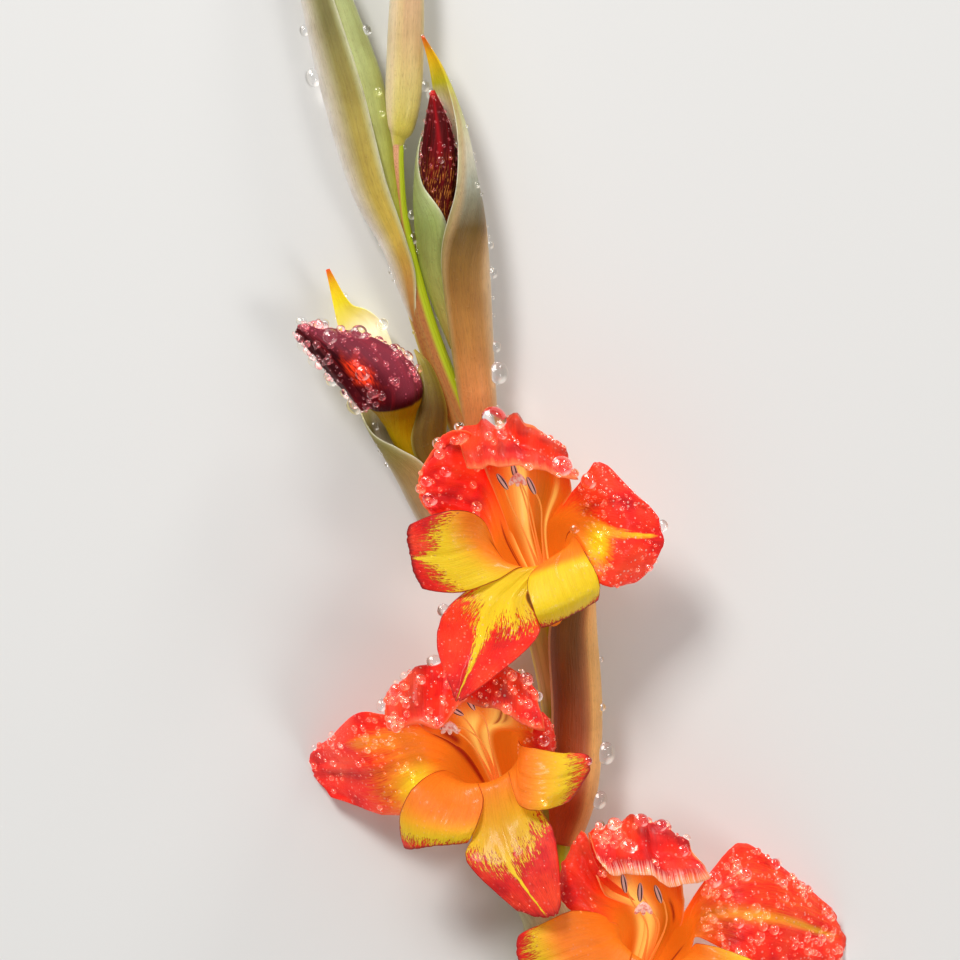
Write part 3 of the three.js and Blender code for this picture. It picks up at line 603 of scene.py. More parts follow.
tepalDefaults = {
    "lobes": [], "creases": [], "blend": 0.15, "amberSide": 0, "stripe": None, "fade": [], "ribs": [],
    "guides": [], "oliveShade": (0, 1, 0.01), "oliveShadeSide": (0, 1, 0.01), "rim": 0, "paleRim": 0, "crimson": 0,
    "bright": 0, "dash": 0, "wet": 0.2,
}
for bloom in blooms.values():
    bloom["tepals"] = [{**tepalDefaults, **tepal} for tepal in bloom["tepals"]]
tepalShape = {
    "halfAngle": 34, "root": 1.2, "floorRadius": 3.4, "mouthRadius": 9, "ripple": (9, 2),
    "sideRough": 0.035, "endRough": 0.016, "along": 66, "across": 42, "thickness": 0.5, "midrib": 0.25,
    "length": 38, "halfWidth": 12,
    "tubeMesh": (24, 20),
    "noises": ((1, 4.5, 2.6, 0), (0.45, 11, 6, 5), (0.16, 30, 15, 9)), "frill": 0.3, "midribWidth": 0.07,
}
# Soft ends of the marks, shares of the olive painted shade, of the crimson painted shade in the folds'
# valleys and of the painted glow, and where along they lie
tepalPaint = {
    "ribEnd": 0.2, "guideStart": 0.06, "guideEnd": 0.08, "oliveShadeEnd": 0.25, "oliveShadeSideEnd": 0.3,
    "oliveShadeSideShare": 0.6, "throatOliveShadeShare": 0.55, "throatOliveShade": (0.24, 0.42), "crimsonShadeInFolds": 0.9,
    "throatGlowShare": 0.8, "throatGlow": (0.28, 0.56), "glowOfFolds": 0.6, "glowRange": (-0.4, 1.2),
    "wetFrom": (0.4, 0.62),
    "tube": {"tone": (0.25, 0.5, 0, 0.2), "marks": (0, 0, 0, 0), "depth": (0, 0.3, 0, 0)},
}


# The floor and the mouth of a bloom's throat
def throatEnds(bloom):
    return Vector(bloom["tube"][-1][:3]), Vector(bloom["mouth"])


# A point on a ring round the throat
def throatPoint(bloom, center, radius, degrees):
    floor, mouth = throatEnds(bloom)
    side, up = sideAndUp((mouth - floor).normalized())
    turn = math.radians(degrees)
    return list(center + side * radius * math.cos(turn) - up * radius * math.sin(turn))


# Value at v from the values at the left edge, the midrib and the right edge
def acrossBlend(values, v):
    left, middle, right = values
    return left * ((v * v - v) / 2) + middle * (1 - v * v) + right * ((v * v + v) / 2)


def hump(value, middle, half):
    return math.exp(-((value - middle) / half) ** 2)


def tepalSurface(bloom, tepal):
    shape = tepalShape
    floor, mouth = throatEnds(bloom)
    root = floor.lerp(mouth, -shape["root"] / (mouth - floor).length)
    rails = []
    for k, offset in enumerate((shape["halfAngle"], 0, -shape["halfAngle"])):
        rails.append([
            throatPoint(bloom, root, shape["floorRadius"], tepal["angle"] + offset),
            throatPoint(bloom, mouth, shape["mouthRadius"], tepal["angle"] + offset),
            *(row[k] for row in tepal["rows"]),
        ])

    def rimNoise(place, coarse, fine, seeds):
        rough = noise.noise(Vector((place * coarse, tepal["angle"], seeds[0])))
        return rough + 0.4 * noise.noise(Vector((place * fine, tepal["angle"], seeds[1])))

    # Roughens the rim a little and rounds the outer corners
    def surface(u, v):
        side, end = rimNoise(u, 7, 22, (0, 3)), rimNoise(v, 3, 9, (7, 9))
        v = v * (1 - shape["sideRough"] * max(0, 0.3 + side) * smooth(0.35, 0.6, u))
        u = u * (1 - tepal["corner"] * v ** 4 - shape["endRough"] * max(0, 0.2 + end) * u)
        lobes = Vector((0, 0, 0))
        for middle, half, shift in tepal["lobes"]:
            lobes += Vector(shift) * hump(v, middle, half) * smooth(0.75, 1, u)
        waves = tepal["wave"] * math.sin(shape["ripple"][0] * u + shape["ripple"][1] * v)
        lift = waves * v * v * min(1, 2 * u * u)
        stations = [Vector(sampleRows(rail, u)) for rail in rails]
        return acrossBlend(stations, v) + Vector((0, 0, lift)) + lobes
    return surface


# How high the folds of a tepal stand at a place on it, in mm
def foldsAt(tepal, u, v):
    size = Vector((tepalShape["length"], tepalShape["halfWidth"]))
    place = Vector((u, v)) * size
    height = 0
    for *ends, width, top in tepal["creases"]:
        first, last = Vector(ends[:2]) * size, Vector(ends[2:]) * size
        t = max(0, min(1, (place - first).dot(last - first) / (last - first).length_squared))
        height += top * hump((place - first.lerp(last, t)).length, 0, width)
    return height * smooth(0.2, 0.4, u)


# Height of the surface's own relief: coarse to fine noise, a frilled rim, the midrib's groove and the folds
def crumpled(tepal, shift):
    def bumpiness(u, v):
        rough = 0
        for share, alongScale, acrossScale, seed in tepalShape["noises"]:
            rough += share * noise.noise(Vector((u * alongScale, v * acrossScale, seed)) + shift)
        frill = tepalShape["frill"] * math.sin(19 * u + 3 * v + 5 * rough)
        rim = frill * smooth(0.6, 1, abs(v)) * smooth(0.4, 0.6, u)
        groove = tepalShape["midrib"] * hump(v, 0, tepalShape["midribWidth"]) * smooth(0.2, 0.5, u)
        return tepal["crumple"] * (rough * smooth(0.25, 0.6, u) + rim) - groove + foldsAt(tepal, u, v)
    return bumpiness


def paint(body, layers):
    for name, values in layers.items():
        layer = body.data.color_attributes.new(name=name, type="FLOAT_COLOR", domain="POINT")
        layer.data.foreach_set("color", values)


# How much a place on a tepal shows of a mark that begins in the throat
def markAt(mark, softEnd, u, v):
    middle, half, reach = mark
    return hump(v, middle, half) * (1 - smooth(reach - softEnd, reach, u))


# Stores where red, amber, dashes, rim, ribs and guides lie on a tepal, and where its painted shade and
# painted glow lie
def paintTepal(blade, spots, tepal):
    tone, marks, depth, blend, look = [], [], [], tepal["blend"], tepalPaint
    for u, v in spots:
        start = acrossBlend(tepal["red"], v)
        red = smooth(start - blend, start + blend, u)
        if tepal["stripe"]:
            middle, half, reach = tepal["stripe"]
            half *= 1.15 - 0.85 * smooth(start - 0.1, 1, u)
            red *= 1 - hump(v, middle, half) * (1 - smooth(reach - 0.05, reach + 0.03, u))
        amber = 1 - smooth(*tepal["amber"], u - tepal["amberSide"] * v)
        for alongSpot, acrossSpot, reachAlong, reachAcross, share in tepal["fade"]:
            away = ((u - alongSpot) / reachAlong) ** 2 + ((v - acrossSpot) / reachAcross) ** 2
            red *= 1 - share * math.exp(-away)
            amber *= 1 - share * math.exp(-away)
        rib = guide = 0
        for middle, left, right, reach in tepal["ribs"]:
            rib = max(rib, markAt((middle, left if v < middle else right, reach), look["ribEnd"], u, v))
        for middle, half, first, last in tepal["guides"]:
            begun = smooth(first, first + look["guideStart"], u)
            guide = max(guide, markAt((middle, half, last), look["guideEnd"], u, v) * begun)
        # Olive painted shade: towards the throat floor, partly its own tone there, and in the olive marks
        # in and beside the throat
        throat = look["throatOliveShadeShare"] * (1 - smooth(*look["throatOliveShade"], u))
        beside = look["oliveShadeSideShare"] * markAt(tepal["oliveShadeSide"], look["oliveShadeSideEnd"], u, v)
        oliveShade = max(markAt(tepal["oliveShade"], look["oliveShadeEnd"], u, v), beside, throat)
        # Folds: crimson in their valleys is painted shade, and the glow they add on their ridges is a
        # painted highlight
        fold = foldsAt(tepal, u, v)
        crimson = min(1, tepal["crimson"] + look["crimsonShadeInFolds"] * max(0, -fold))
        # Painted glow: stronger in the throat, where shade falls, and on the ridges of the folds, weaker in
        # their valleys
        glow = look["throatGlowShare"] * (1 - smooth(*look["throatGlow"], u))
        glow = glow + look["glowOfFolds"] * fold + tepal["bright"]
        wet = tepal["wet"] * smooth(*look["wetFrom"], u)
        darkest, brightest = look["glowRange"]
        tone.extend((red, amber, tepal["feather"], max(darkest, min(brightest, glow))))
        marks.extend((tepal["rim"], guide, rib, tepal["paleRim"]))
        depth.extend((crimson, oliveShade, tepal["dash"], wet))
    paint(blade, {"tone": tone, "marks": marks, "depth": depth})


def addBloom(key, bloom, material):
    shape, parts = tepalShape, []
    for k, tepal in enumerate(bloom["tepals"]):
        surface, folds = tepalSurface(bloom, tepal), crumpled(tepal, Vector((3.1 * k, 7.7 * ord(key), 0)))
        blade, spots = addBlade(f"tepal{key}{k}", surface, shape["along"], shape["across"], bumpiness=folds)
        paintTepal(blade, spots, tepal)
        thicken(blade, shape["thickness"])
        parts.append(blade)
    tube = addRound(f"tube{key}", bloom["tube"], *shape["tubeMesh"])
    count = len(tube.data.vertices)
    paint(tube, {name: values * count for name, values in tepalPaint["tube"].items()})
    piece = joinAll(f"bloom{key}", [*parts, tube])
    piece.data.materials.clear()
    piece.data.materials.append(material)
    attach(piece, "root")
    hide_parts(f"bloom_{key.lower()}")


petalMaterial = makePetalMaterial()
for key, bloom in blooms.items():
    addBloom(key, bloom, petalMaterial)
print("blooms made")


# Stamens

# Stamens of each bloom, in mm. anthers: [x, y, z, turn in degrees]; stigma: where its three lobes meet;
# anther and lobe: half width, half length and half height; filament: its radius, and at the root
stamens = {
    "A": {"anthers": [[5.6, -0.4, 38, 35], [8.6, 2.2, 35, 15], [12.8, -1.4, 38, 25]],
          "stigma": [9.4, 1, 41.5]},
    "B": {"anthers": [[-10.2, -60, 34, 10], [-6.2, -57.6, 34, 60], [-2.5, -55.5, 31, 30]],
          "stigma": [-7.5, -61, 37]},
    "C": {"anthers": [[36, -100.8, 35, 10], [40, -103, 35, 0], [44.5, -103.4, 35, 20]],
          "stigma": [40.8, -106, 38]},
    "filament": 0.2, "rootRadius": 0.7, "mesh": (24, 8), "spread": 2, "styleAside": 0.6,
    "anther": (0.70, 2.7, 0.70), "antherTilt": 25,
    "lobe": (0.66, 1.9, 0.5), "lobeStep": 1.1, "lobeTurn": 35, "lobeTilt": 20,
    "filamentFinish": dict(roughness=0.4, coat=0.2, coatRoughness=0.1, glow=0.25, softness=0.1),
    "lobeFinish": dict(roughness=0.35, coat=0.4, coatRoughness=0.1, glow=0.2, softness=0.15),
    "antherFinish": dict(roughness=0.5, coat=0.2, coatRoughness=0.2, glow=0.1),
    "filamentVeins": (12, 3), "lobeCells": 1400, "seams": 4,
    "filamentColour": tint(250, 150, 60), "filamentPale": tint(255, 178, 88),
    "lobeColour": tint(255, 196, 176), "lobeDeep": tint(238, 120, 100),
    "pale": tint(236, 186, 172), "dark": tint(62, 20, 30),
}


def makeStamenMaterials():
    filament, tree, shader = startMaterial("filament", **stamens["filamentFinish"])
    stops = [(0.3, stamens["filamentColour"]), (0.8, stamens["filamentPale"])]
    colourIn(shader, ramp(veinsIn(tree, *stamens["filamentVeins"]), stops))

    lobe, tree, shader = startMaterial("stigmaLobe", **stamens["lobeFinish"])
    cells, *_ = skinIn(tree, stamens["lobeCells"])
    colourIn(shader, ramp(cells, [(0.35, stamens["lobeDeep"]), (0.55, stamens["lobeColour"])]))

    # Pale pollen sacs with dark seams along them
    anther, tree, shader = startMaterial("anther", **stamens["antherFinish"])
    across, _ = uvOf(tree)
    seams = times(minus(calc("SINE", times(across, 2 * math.pi * stamens["seams"])), 0.25), 3.0, clamp=True)
    colourIn(shader, mixed(seams, stamens["pale"], stamens["dark"]))
    return filament, lobe, anther


# A long egg with its poles at the two tips, a little pinched along its sides
def addEgg(name, center, size, turn, tilt, material):
    deselectAll()
    bpy.ops.mesh.primitive_uv_sphere_add(segments=18, ring_count=12, radius=1, calc_uvs=True)
    egg = bpy.context.object
    egg.name = name
    for vertex in egg.data.vertices:
        z, x, y = vertex.co
        pinch = 1 + 0.12 * math.cos(2 * math.atan2(z, x))
        place = Vector((x * size[0] * pinch, y * size[1], z * size[2] * pinch))
        place.rotate(Euler((math.radians(tilt), 0, math.radians(turn))))
        vertex.co = inMetres(Vector(center) + place)
    bpy.ops.object.shade_smooth()
    egg.data.materials.append(material)
    return egg


def addStamens(key, materials):
    organs, radius, parts = stamens[key], stamens["filament"], []
    filamentLook, lobeLook, antherLook = materials
    floor, mouth = throatEnds(blooms[key])
    along = (mouth - floor).normalized()
    base, inMouth = floor + along * 0.3, mouth + along * 2

    def addFilament(tip, offset):
        rows = [
            [*base, stamens["rootRadius"]],
            [inMouth.x + offset, inMouth.y + 1, inMouth.z, radius],
            [(inMouth.x + tip[0]) / 2 + offset, (inMouth.y + tip[1]) / 2 + 2, tip[2] - 5, radius],
            [*tip[:3], radius * 0.8],
        ]
        thread = addRound(f"filament{key}{len(parts)}", rows, *stamens["mesh"])
        thread.data.materials.append(filamentLook)
        parts.append(thread)

    for k, anther in enumerate(organs["anthers"]):
        addFilament(anther, (k - 1) * stamens["spread"])
        pose = (anther[:3], stamens["anther"], anther[3], stamens["antherTilt"])
        parts.append(addEgg(f"anther{key}{k}", *pose, antherLook))
    addFilament(organs["stigma"], stamens["styleAside"])
    x, y, z = organs["stigma"]
    for k in (-1, 0, 1):
        place = (x + k * stamens["lobeStep"], y - 0.9, z + 0.3)
        pose = (place, stamens["lobe"], k * stamens["lobeTurn"], stamens["lobeTilt"])
        parts.append(addEgg(f"lobe{key}{k}", *pose, lobeLook))
    piece = joinAll(f"stamens{key}", parts)
    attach(piece, "root")
    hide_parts(f"stamens_{key.lower()}")


stamenMaterials = makeStamenMaterials()
for key in blooms:
    addStamens(key, stamenMaterials)
print("stamens made")


# Stem

# Stem, from the cut end to the tip: [x, y, z, radius] in mm. along: colours from the cut end to the tip;
# across: colours laid over them round the stem, each with its share, whose lighter sides are partly the
# stem's own yellow-green and partly painted light
stem = dict(
    line=[[14, -252, 5.3, 5], [15, -215, 6, 4.9], [15.8, -175, 7.2, 4.8], [16.2, -140, 8.2, 4.7],
        [16.8, -110, 8.8, 4.5], [18.8, -90, 9.2, 4.3], [20.3, -72, 9.4, 4.1], [19.3, -56, 9.5, 4],
        [15.5, -38, 9.5, 3.9], [9.5, -18, 9.5, 3.8], [2, 0, 9.5, 3.7], [-6, 18, 9.5, 3.5],
        [-13, 36, 9.4, 3.2], [-17.6, 52, 9.2, 2.9], [-20.2, 66, 9, 2.3], [-20.9, 78, 8.8, 1.9],
        [-20.8, 85, 8.7, 1.7]],
    along=[(0.0, 236, 226, 180), (0.004, 112, 140, 44), (0.3, 132, 146, 46), (0.43, 150, 146, 56),
        (0.455, 204, 164, 104), (0.485, 190, 150, 84), (0.52, 162, 140, 52), (0.6, 172, 124, 56),
        (0.7, 178, 114, 56), (0.8, 170, 106, 52), (0.9, 190, 122, 72), (0.96, 222, 160, 120)],
    across=[(0.0, 188, 206, 20, 0.95), (0.18, 176, 190, 28, 0.95), (0.225, 196, 170, 60, 0.0),
        (0.4, 204, 170, 80, 0.0), (0.48, 224, 216, 110, 0.9), (0.6, 150, 150, 70, 0.3),
        (0.95, 180, 200, 44, 0.9)],
    finish=dict(roughness=0.46, coat=0.12, coatRoughness=0.16, specular=0.3, glow=0.08, softness=0.04),
    streak=tint(150, 122, 60), streaks=(30, 3), streakIn=[(0.46, 0), (0.72, 0.6)], speck=tint(136, 62, 40),
    specks=(60, 300, 4.0), speckIn=[(0.48, 0), (0.68, 0.6)], specksFrom=[(0.62, 0), (0.74, 1)], cells=1800,
    veinBump=0.2, cellBump=0.06, ridge=0.03, mesh=(260, 40),
)


def makeStemMaterial():
    material, tree, shader = startMaterial("stemSkin", **stem["finish"])
    across, along = uvOf(tree)
    colour = ramp(along, painted(stem["along"]))
    streaks = veinsIn(tree, *stem["streaks"])
    colour = mixed(ramp(streaks, stem["streakIn"]), colour, stem["streak"])
    specks = ramp(veinsIn(tree, *stem["specks"]), stem["speckIn"])
    colour = mixed(times(specks, ramp(along, stem["specksFrom"])), colour, stem["speck"])
    # Colours laid round the stem: its lighter sides are partly its own yellow-green and partly painted
    # light
    edge = rampNode(across, painted(stem["across"]))
    colour = mixed(edge.outputs["Alpha"], colour, edge.outputs["Color"])
    colourIn(shader, colour)
    cells, *_ = skinIn(tree, stem["cells"])
    roughen(tree, shader, streaks, stem["veinBump"], cells, stem["cellBump"])
    return material


def stemRelief(t, turn):
    return 1 + stem["ridge"] * math.cos(5 * turn + 4 * t)


stemPiece = addRound("stemBody", stem["line"], *stem["mesh"], stemRelief)
settle(stemPiece)
stemPiece.data.materials.append(makeStemMaterial())
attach(stemPiece, "root")
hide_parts("stem")
print("stem made")


# Bracts, from base to tip: [x, y, z, radius, facing, half spread] in mm and degrees. along: colours from
# base to tip; across: colours laid over them from margin to margin, each with its share, up to plainFrom
# along the bract, their pale bands partly the bract's own pale margins and partly painted light; stripes:
# how strong its broad stripes are; flecks: how dark its flecks are; tipGlow: painted glow of its tip
bracts = {
    "bract_a": dict(rows=[[20.5, -91, 9.5, 4.25, 60, 150], [23.4, -77, 11.5, 6, 55, 118],
        [24.2, -58, 12.4, 6.3, 55, 116], [23.2, -38, 13, 6, 55, 116], [24, -26, 12.5, 4.6, 40, 90],
        [26, -14, 10, 0.7, 20, 55]], along=[(0.0, 196, 84, 40), (0.15, 192, 78, 32), (0.3, 160, 70, 28),
        (0.42, 140, 68, 28), (0.56, 122, 74, 30), (0.7, 112, 76, 30), (0.85, 120, 86, 40)],
        across=[(0.22, 236, 180, 124, 0.95), (0.3, 240, 186, 116, 0.95), (0.48, 240, 176, 100, 0.9),
        (0.54, 200, 124, 66, 0.5), (0.61, 170, 100, 50, 0.0), (0.84, 150, 90, 48, 0.0),
        (0.9, 156, 98, 56, 0.3), (0.922, 212, 152, 100, 0.95), (1, 240, 190, 150, 1)], stripes=0.14),
    "bract_b": dict(rows=[[16.4, -130, 8.6, 4.5, 100, 150], [17, -118, 12.6, 5.8, 95, 125],
        [16.6, -110, 13.2, 5.8, 100, 118], [13, -101, 13, 6, 130, 108], [9.3, -90, 12.8, 5.9, 150, 95],
        [5.2, -79, 12.8, 6.2, 220, 60], [2, -70, 8, 0.7, 220, 55]], along=[(0.0, 150, 150, 80),
        (0.4, 206, 196, 150), (0.9, 230, 214, 180)], across=[(0.0, 232, 214, 180, 0.8),
        (0.06, 200, 190, 130, 0.0), (0.9, 200, 190, 130, 0.0), (1, 236, 220, 190, 0.9)], stripes=0.4),
    "bract_c": dict(rows=[[16.3, -170, 7.4, 4.7, 70, 150], [18.6, -158, 11.6, 6.2, 60, 122],
        [23.6, -147, 12.2, 6.2, 40, 110], [31, -136, 12, 5.9, 0, 95], [39.9, -125, 13, 6.3, -40, 60],
        [43.5, -114, 7.5, 0.7, -40, 55]], along=[(0.0, 140, 146, 70), (0.4, 168, 120, 70),
        (0.9, 196, 150, 104)], across=[(0.22, 232, 190, 140, 0.9), (0.44, 214, 158, 96, 0.6),
        (0.56, 190, 120, 70, 0.0), (0.93, 176, 130, 84, 0.0), (1, 238, 200, 176, 1)], stripes=0.4),
    "bract_nodding_outer": dict(rows=[[-1, -24, 9.5, 3.8, 190, 145], [-9, -10, 10, 5.7, 190, 132],
        [-15.4, 3, 11, 6.1, 195, 122], [-18.5, 9.5, 11.3, 6.6, 205, 90], [-22.5, 18, 11, 7.2, 235, 60],
        [-29.5, 36, 9.5, 6.2, 270, 75], [-34.3, 43, 10.5, 2.3, 270, 75], [-38.2, 52.8, 13, 0.5, 270, 60]],
        along=[(0.0, 204, 176, 164), (0.14, 184, 150, 112), (0.28, 166, 136, 78), (0.4, 150, 132, 62),
        (0.52, 136, 124, 46), (0.62, 238, 226, 160), (0.72, 255, 248, 214), (0.8, 250, 238, 120),
        (0.88, 244, 226, 40), (0.95, 250, 200, 24), (1, 238, 84, 24)], across=[(0.0, 226, 224, 196, 0.95),
        (0.03, 190, 184, 130, 0.5), (0.12, 140, 130, 70, 0.0), (0.28, 160, 150, 110, 0.0),
        (0.42, 226, 216, 196, 0.8), (0.6, 236, 226, 210, 0.4), (1, 244, 230, 150, 0.3)], stripes=0.2,
        plainFrom=0.6, tipGlow=0.45),
    "bract_nodding_inner": dict(rows=[[-4, -14, 10.5, 3.2, 0, 115], [-9.2, -2, 11.6, 4.2, 10, 110],
        [-13.5, 9, 12.4, 5.1, 20, 115], [-12.8, 18, 13.5, 4.2, 20, 112], [-14.2, 27, 13.2, 2.4, 20, 100],
        [-16.7, 32.6, 13, 0.5, 20, 70]], along=[(0.0, 140, 116, 36), (0.3, 118, 90, 20), (0.6, 108, 80, 18),
        (0.85, 140, 124, 30), (1, 200, 180, 90)], across=[(0.36, 224, 216, 110, 0.95),
        (0.46, 176, 160, 50, 0.8), (0.58, 130, 104, 20, 0.0), (0.95, 150, 130, 40, 0.0),
        (1, 214, 196, 110, 0.9)], stripes=0.35),
    "bract_upright_outer": dict(rows=[[2, 0, 9.5, 3.3, 40, 145], [-0.5, 18, 10.5, 4.6, 40, 125],
        [-2.2, 34, 11.5, 5.4, 45, 115], [-4, 53, 12, 6.3, 45, 108], [-5.5, 65, 11.5, 6.7, 2, 112],
        [-7, 75, 11.8, 6.3, -18, 97], [-8.5, 88, 11.5, 5, -30, 88], [-11, 101, 12, 2.6, -40, 78],
        [-14.6, 111.3, 13.8, 0.5, -50, 55]], along=[(0.0, 228, 132, 76), (0.16, 224, 146, 80),
        (0.26, 188, 128, 60), (0.38, 136, 96, 36), (0.47, 102, 76, 24), (0.56, 140, 136, 112),
        (0.62, 176, 178, 160), (0.7, 222, 214, 186), (0.78, 206, 202, 140), (0.86, 206, 198, 34),
        (0.94, 246, 190, 16), (1, 232, 80, 20)], across=[(0.22, 240, 226, 206, 1),
        (0.32, 222, 196, 160, 0.9), (0.46, 216, 174, 124, 0.75), (0.56, 186, 140, 88, 0.2),
        (0.66, 190, 140, 96, 0.0), (0.86, 180, 140, 90, 0.0), (0.93, 190, 156, 104, 0.7),
        (0.985, 178, 160, 100, 0.7), (1, 240, 236, 206, 0.95)], stripes=0.12, plainFrom=0.86, tipGlow=0.25,
        flecks=0.55),
    "bract_upright_inner": dict(rows=[[-4, 34, 9.2, 3.4, 180, 110], [-7, 44, 8.8, 4.4, 180, 110],
        [-9.5, 54, 8.6, 5.3, 180, 110], [-10.4, 65, 10.4, 5.9, 180, 108], [-10.8, 74, 10, 5.7, 205, 76],
        [-11.4, 84, 9, 4, 225, 60], [-12, 92, 8, 0.6, 230, 50]], along=[(0.0, 190, 150, 80),
        (0.2, 166, 162, 80), (0.5, 148, 162, 86), (0.68, 176, 188, 124), (0.84, 190, 198, 146),
        (1, 196, 204, 130)], across=[(0.0, 232, 232, 196, 0.9), (0.04, 190, 196, 140, 0.4),
        (0.14, 150, 160, 90, 0.0), (0.38, 170, 180, 100, 0.0), (0.5, 206, 220, 90, 0.9),
        (0.62, 180, 200, 80, 0.4)], stripes=0.3),
    "spathe_left_outer": dict(rows=[[-13.4, 37, 9.4, 2.5, 170, 25], [-17.2, 50, 9.2, 3.7, 192, 120],
        [-20.6, 60, 9, 4.3, 200, 138], [-26.4, 75, 8.2, 6.3, 200, 136], [-33, 98, 7, 6.6, 200, 142],
        [-38.6, 118, 7.2, 5.6, 200, 138], [-44.6, 140, 7.4, 3.6, 200, 130], [-50, 160, 7.4, 0.5, 200, 90]],
        along=[(0.0, 172, 108, 54), (0.12, 190, 134, 64), (0.22, 196, 154, 62), (0.34, 208, 178, 74),
        (0.46, 184, 160, 72), (0.58, 150, 134, 66), (0.7, 128, 120, 68), (1, 136, 134, 94)],
        across=[(0.0, 236, 232, 200, 1), (0.025, 206, 206, 160, 0.6), (0.07, 170, 170, 100, 0.0),
        (0.15, 190, 180, 130, 0.0), (0.24, 218, 204, 176, 0.65), (0.33, 236, 226, 212, 0.95),
        (0.42, 244, 236, 228, 1), (0.5, 248, 242, 238, 1), (0.7, 200, 190, 150, 0.5)], stripes=0.2),
    "spathe_left_inner": dict(rows=[[-21.6, 64, 9, 2.8, 10, 115], [-24.4, 78, 8.6, 3.4, 10, 115],
        [-28.6, 98, 8, 4.5, 10, 110], [-34.2, 115, 7.8, 4, 10, 110], [-40.6, 134, 7.6, 2.6, 10, 100],
        [-46, 149, 7.4, 0.5, 10, 80]], along=[(0.0, 180, 178, 30), (0.2, 166, 164, 46),
        (0.5, 166, 172, 104), (1, 176, 184, 134)], across=[(0.38, 232, 234, 206, 0.95),
        (0.48, 206, 212, 164, 0.7), (0.62, 176, 184, 120, 0.0), (1, 214, 216, 150, 0.6)], stripes=0.18),
    "spathe_top_outer": dict(rows=[[-20.9, 83.8, 8.7, 1.4, 30, 168], [-20.6, 86.2, 8.8, 2, 30, 168],
        [-19.9, 89.4, 9, 3.5, 30, 168], [-19.1, 99, 9.4, 4.4, 30, 168], [-18.4, 120, 9.4, 4.1, 30, 160],
        [-17.8, 138, 9, 2.6, 30, 145], [-17.2, 152, 8.6, 0.5, 30, 100]], along=[(0.0, 222, 168, 120),
        (0.06, 206, 190, 72), (0.34, 212, 194, 82), (0.48, 218, 198, 116), (0.6, 216, 180, 128),
        (0.7, 214, 172, 132), (1, 196, 170, 130)], across=[(0.3, 226, 218, 180, 0.95),
        (0.44, 214, 202, 150, 0.7), (0.54, 212, 200, 100, 0.0), (0.7, 214, 200, 100, 0.0),
        (0.8, 240, 214, 170, 0.7), (0.9, 240, 222, 190, 0.9), (1, 246, 238, 222, 0.95)], stripes=0.15),
}
bractShape = {"alongPerStation": 14, "across": 36, "thickness": 0.5, "thinnest": 0.35}
bractLook = {
    "finish": dict(roughness=0.46, coat=0.10, coatRoughness=0.16, specular=0.3, glow=0.07, softness=0.04),
    "broadVeins": (14, 1.6), "broad": [(0.36, (0.66, 0.56, 0.46, 1)), (0.62, (1.1, 1.1, 1.06, 1))],
    "fineVeins": (70, 9.0), "fine": [(0.34, (0.72, 0.68, 0.60, 1)), (0.60, (1.06, 1.06, 1.04, 1))],
    "fleckVeins": (90, 60.0, 4.0), "flecks": [(0.54, 0), (0.68, 0.5)], "fleck": tint(92, 62, 34),
    "cells": 1600, "mottle": [(0.36, (0.84, 0.80, 0.74, 1)), (0.62, 1.05)],
    "fineShare": 0.28, "mottleShare": 0.7, "plainBlend": 0.06, "glowBlend": 0.04, "beadRelief": 0.3,
    "veinBump": 0.18, "cellBump": 0.05,
}


def makeBractMaterial(name, look):
    material, tree, shader = startMaterial(f"{name}Skin", **bractLook["finish"])
    across, along = uvOf(tree)
    colour = ramp(along, painted(look["along"]))
    stripes = veinsIn(tree, *bractLook["fineVeins"])
    broad = ramp(veinsIn(tree, *bractLook["broadVeins"]), bractLook["broad"])
    colour = mixed(look["stripes"], colour, broad, "MULTIPLY")
    # Colours from margin to margin: pale bands, partly the bract's own margins and partly painted light
    over = rampNode(across, painted(look["across"]))
    end = look.get("plainFrom", 2)
    start = end - bractLook["plainBlend"]
    reach = ramp(along, [(start, 1), (end, 0)]) if end < 1 else 1.0
    colour = mixed(times(over.outputs["Alpha"], reach), colour, over.outputs["Color"])
    colour = mixed(bractLook["fineShare"], colour, ramp(stripes, bractLook["fine"]), "MULTIPLY")
    flecks = ramp(veinsIn(tree, *bractLook["fleckVeins"]), bractLook["flecks"])
    colour = mixed(times(flecks, look.get("flecks", 0.4)), colour, bractLook["fleck"])
    cells, blotches, beads = skinIn(tree, bractLook["cells"])
    mottle = ramp(blotches, bractLook["mottle"])
    colourIn(shader, mixed(bractLook["mottleShare"], colour, mottle, "MULTIPLY"))
    # Painted glow on the tip
    if "tipGlow" in look:
        stops = [(start, bractLook["finish"]["glow"]), (end + bractLook["glowBlend"], look["tipGlow"])]
        tree.links.new(ramp(along, stops), shader.inputs["Emission Strength"])
    relief = plus(stripes, times(beads, bractLook["beadRelief"]))
    roughen(tree, shader, relief, bractLook["veinBump"], cells, bractLook["cellBump"])
    return material


def bractSurface(rows):
    sectionAt = crossSections(rows)

    def surface(u, v):
        section = sectionAt(u)
        radius, facing, halfSpread = section[0][3:]
        turn = math.radians(facing + v * halfSpread)
        return ringPoint(section, max(bractShape["thinnest"], radius), turn)
    return surface


for name, look in bracts.items():
    steps = bractShape["alongPerStation"] * (len(look["rows"]) - 1)
    piece, _ = addBlade(name + "Blade", bractSurface(look["rows"]), steps, bractShape["across"])
    thicken(piece, bractShape["thickness"])
    piece.data.materials.append(makeBractMaterial(name, look))
    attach(piece, "root")
    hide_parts(name)
print("bracts made")


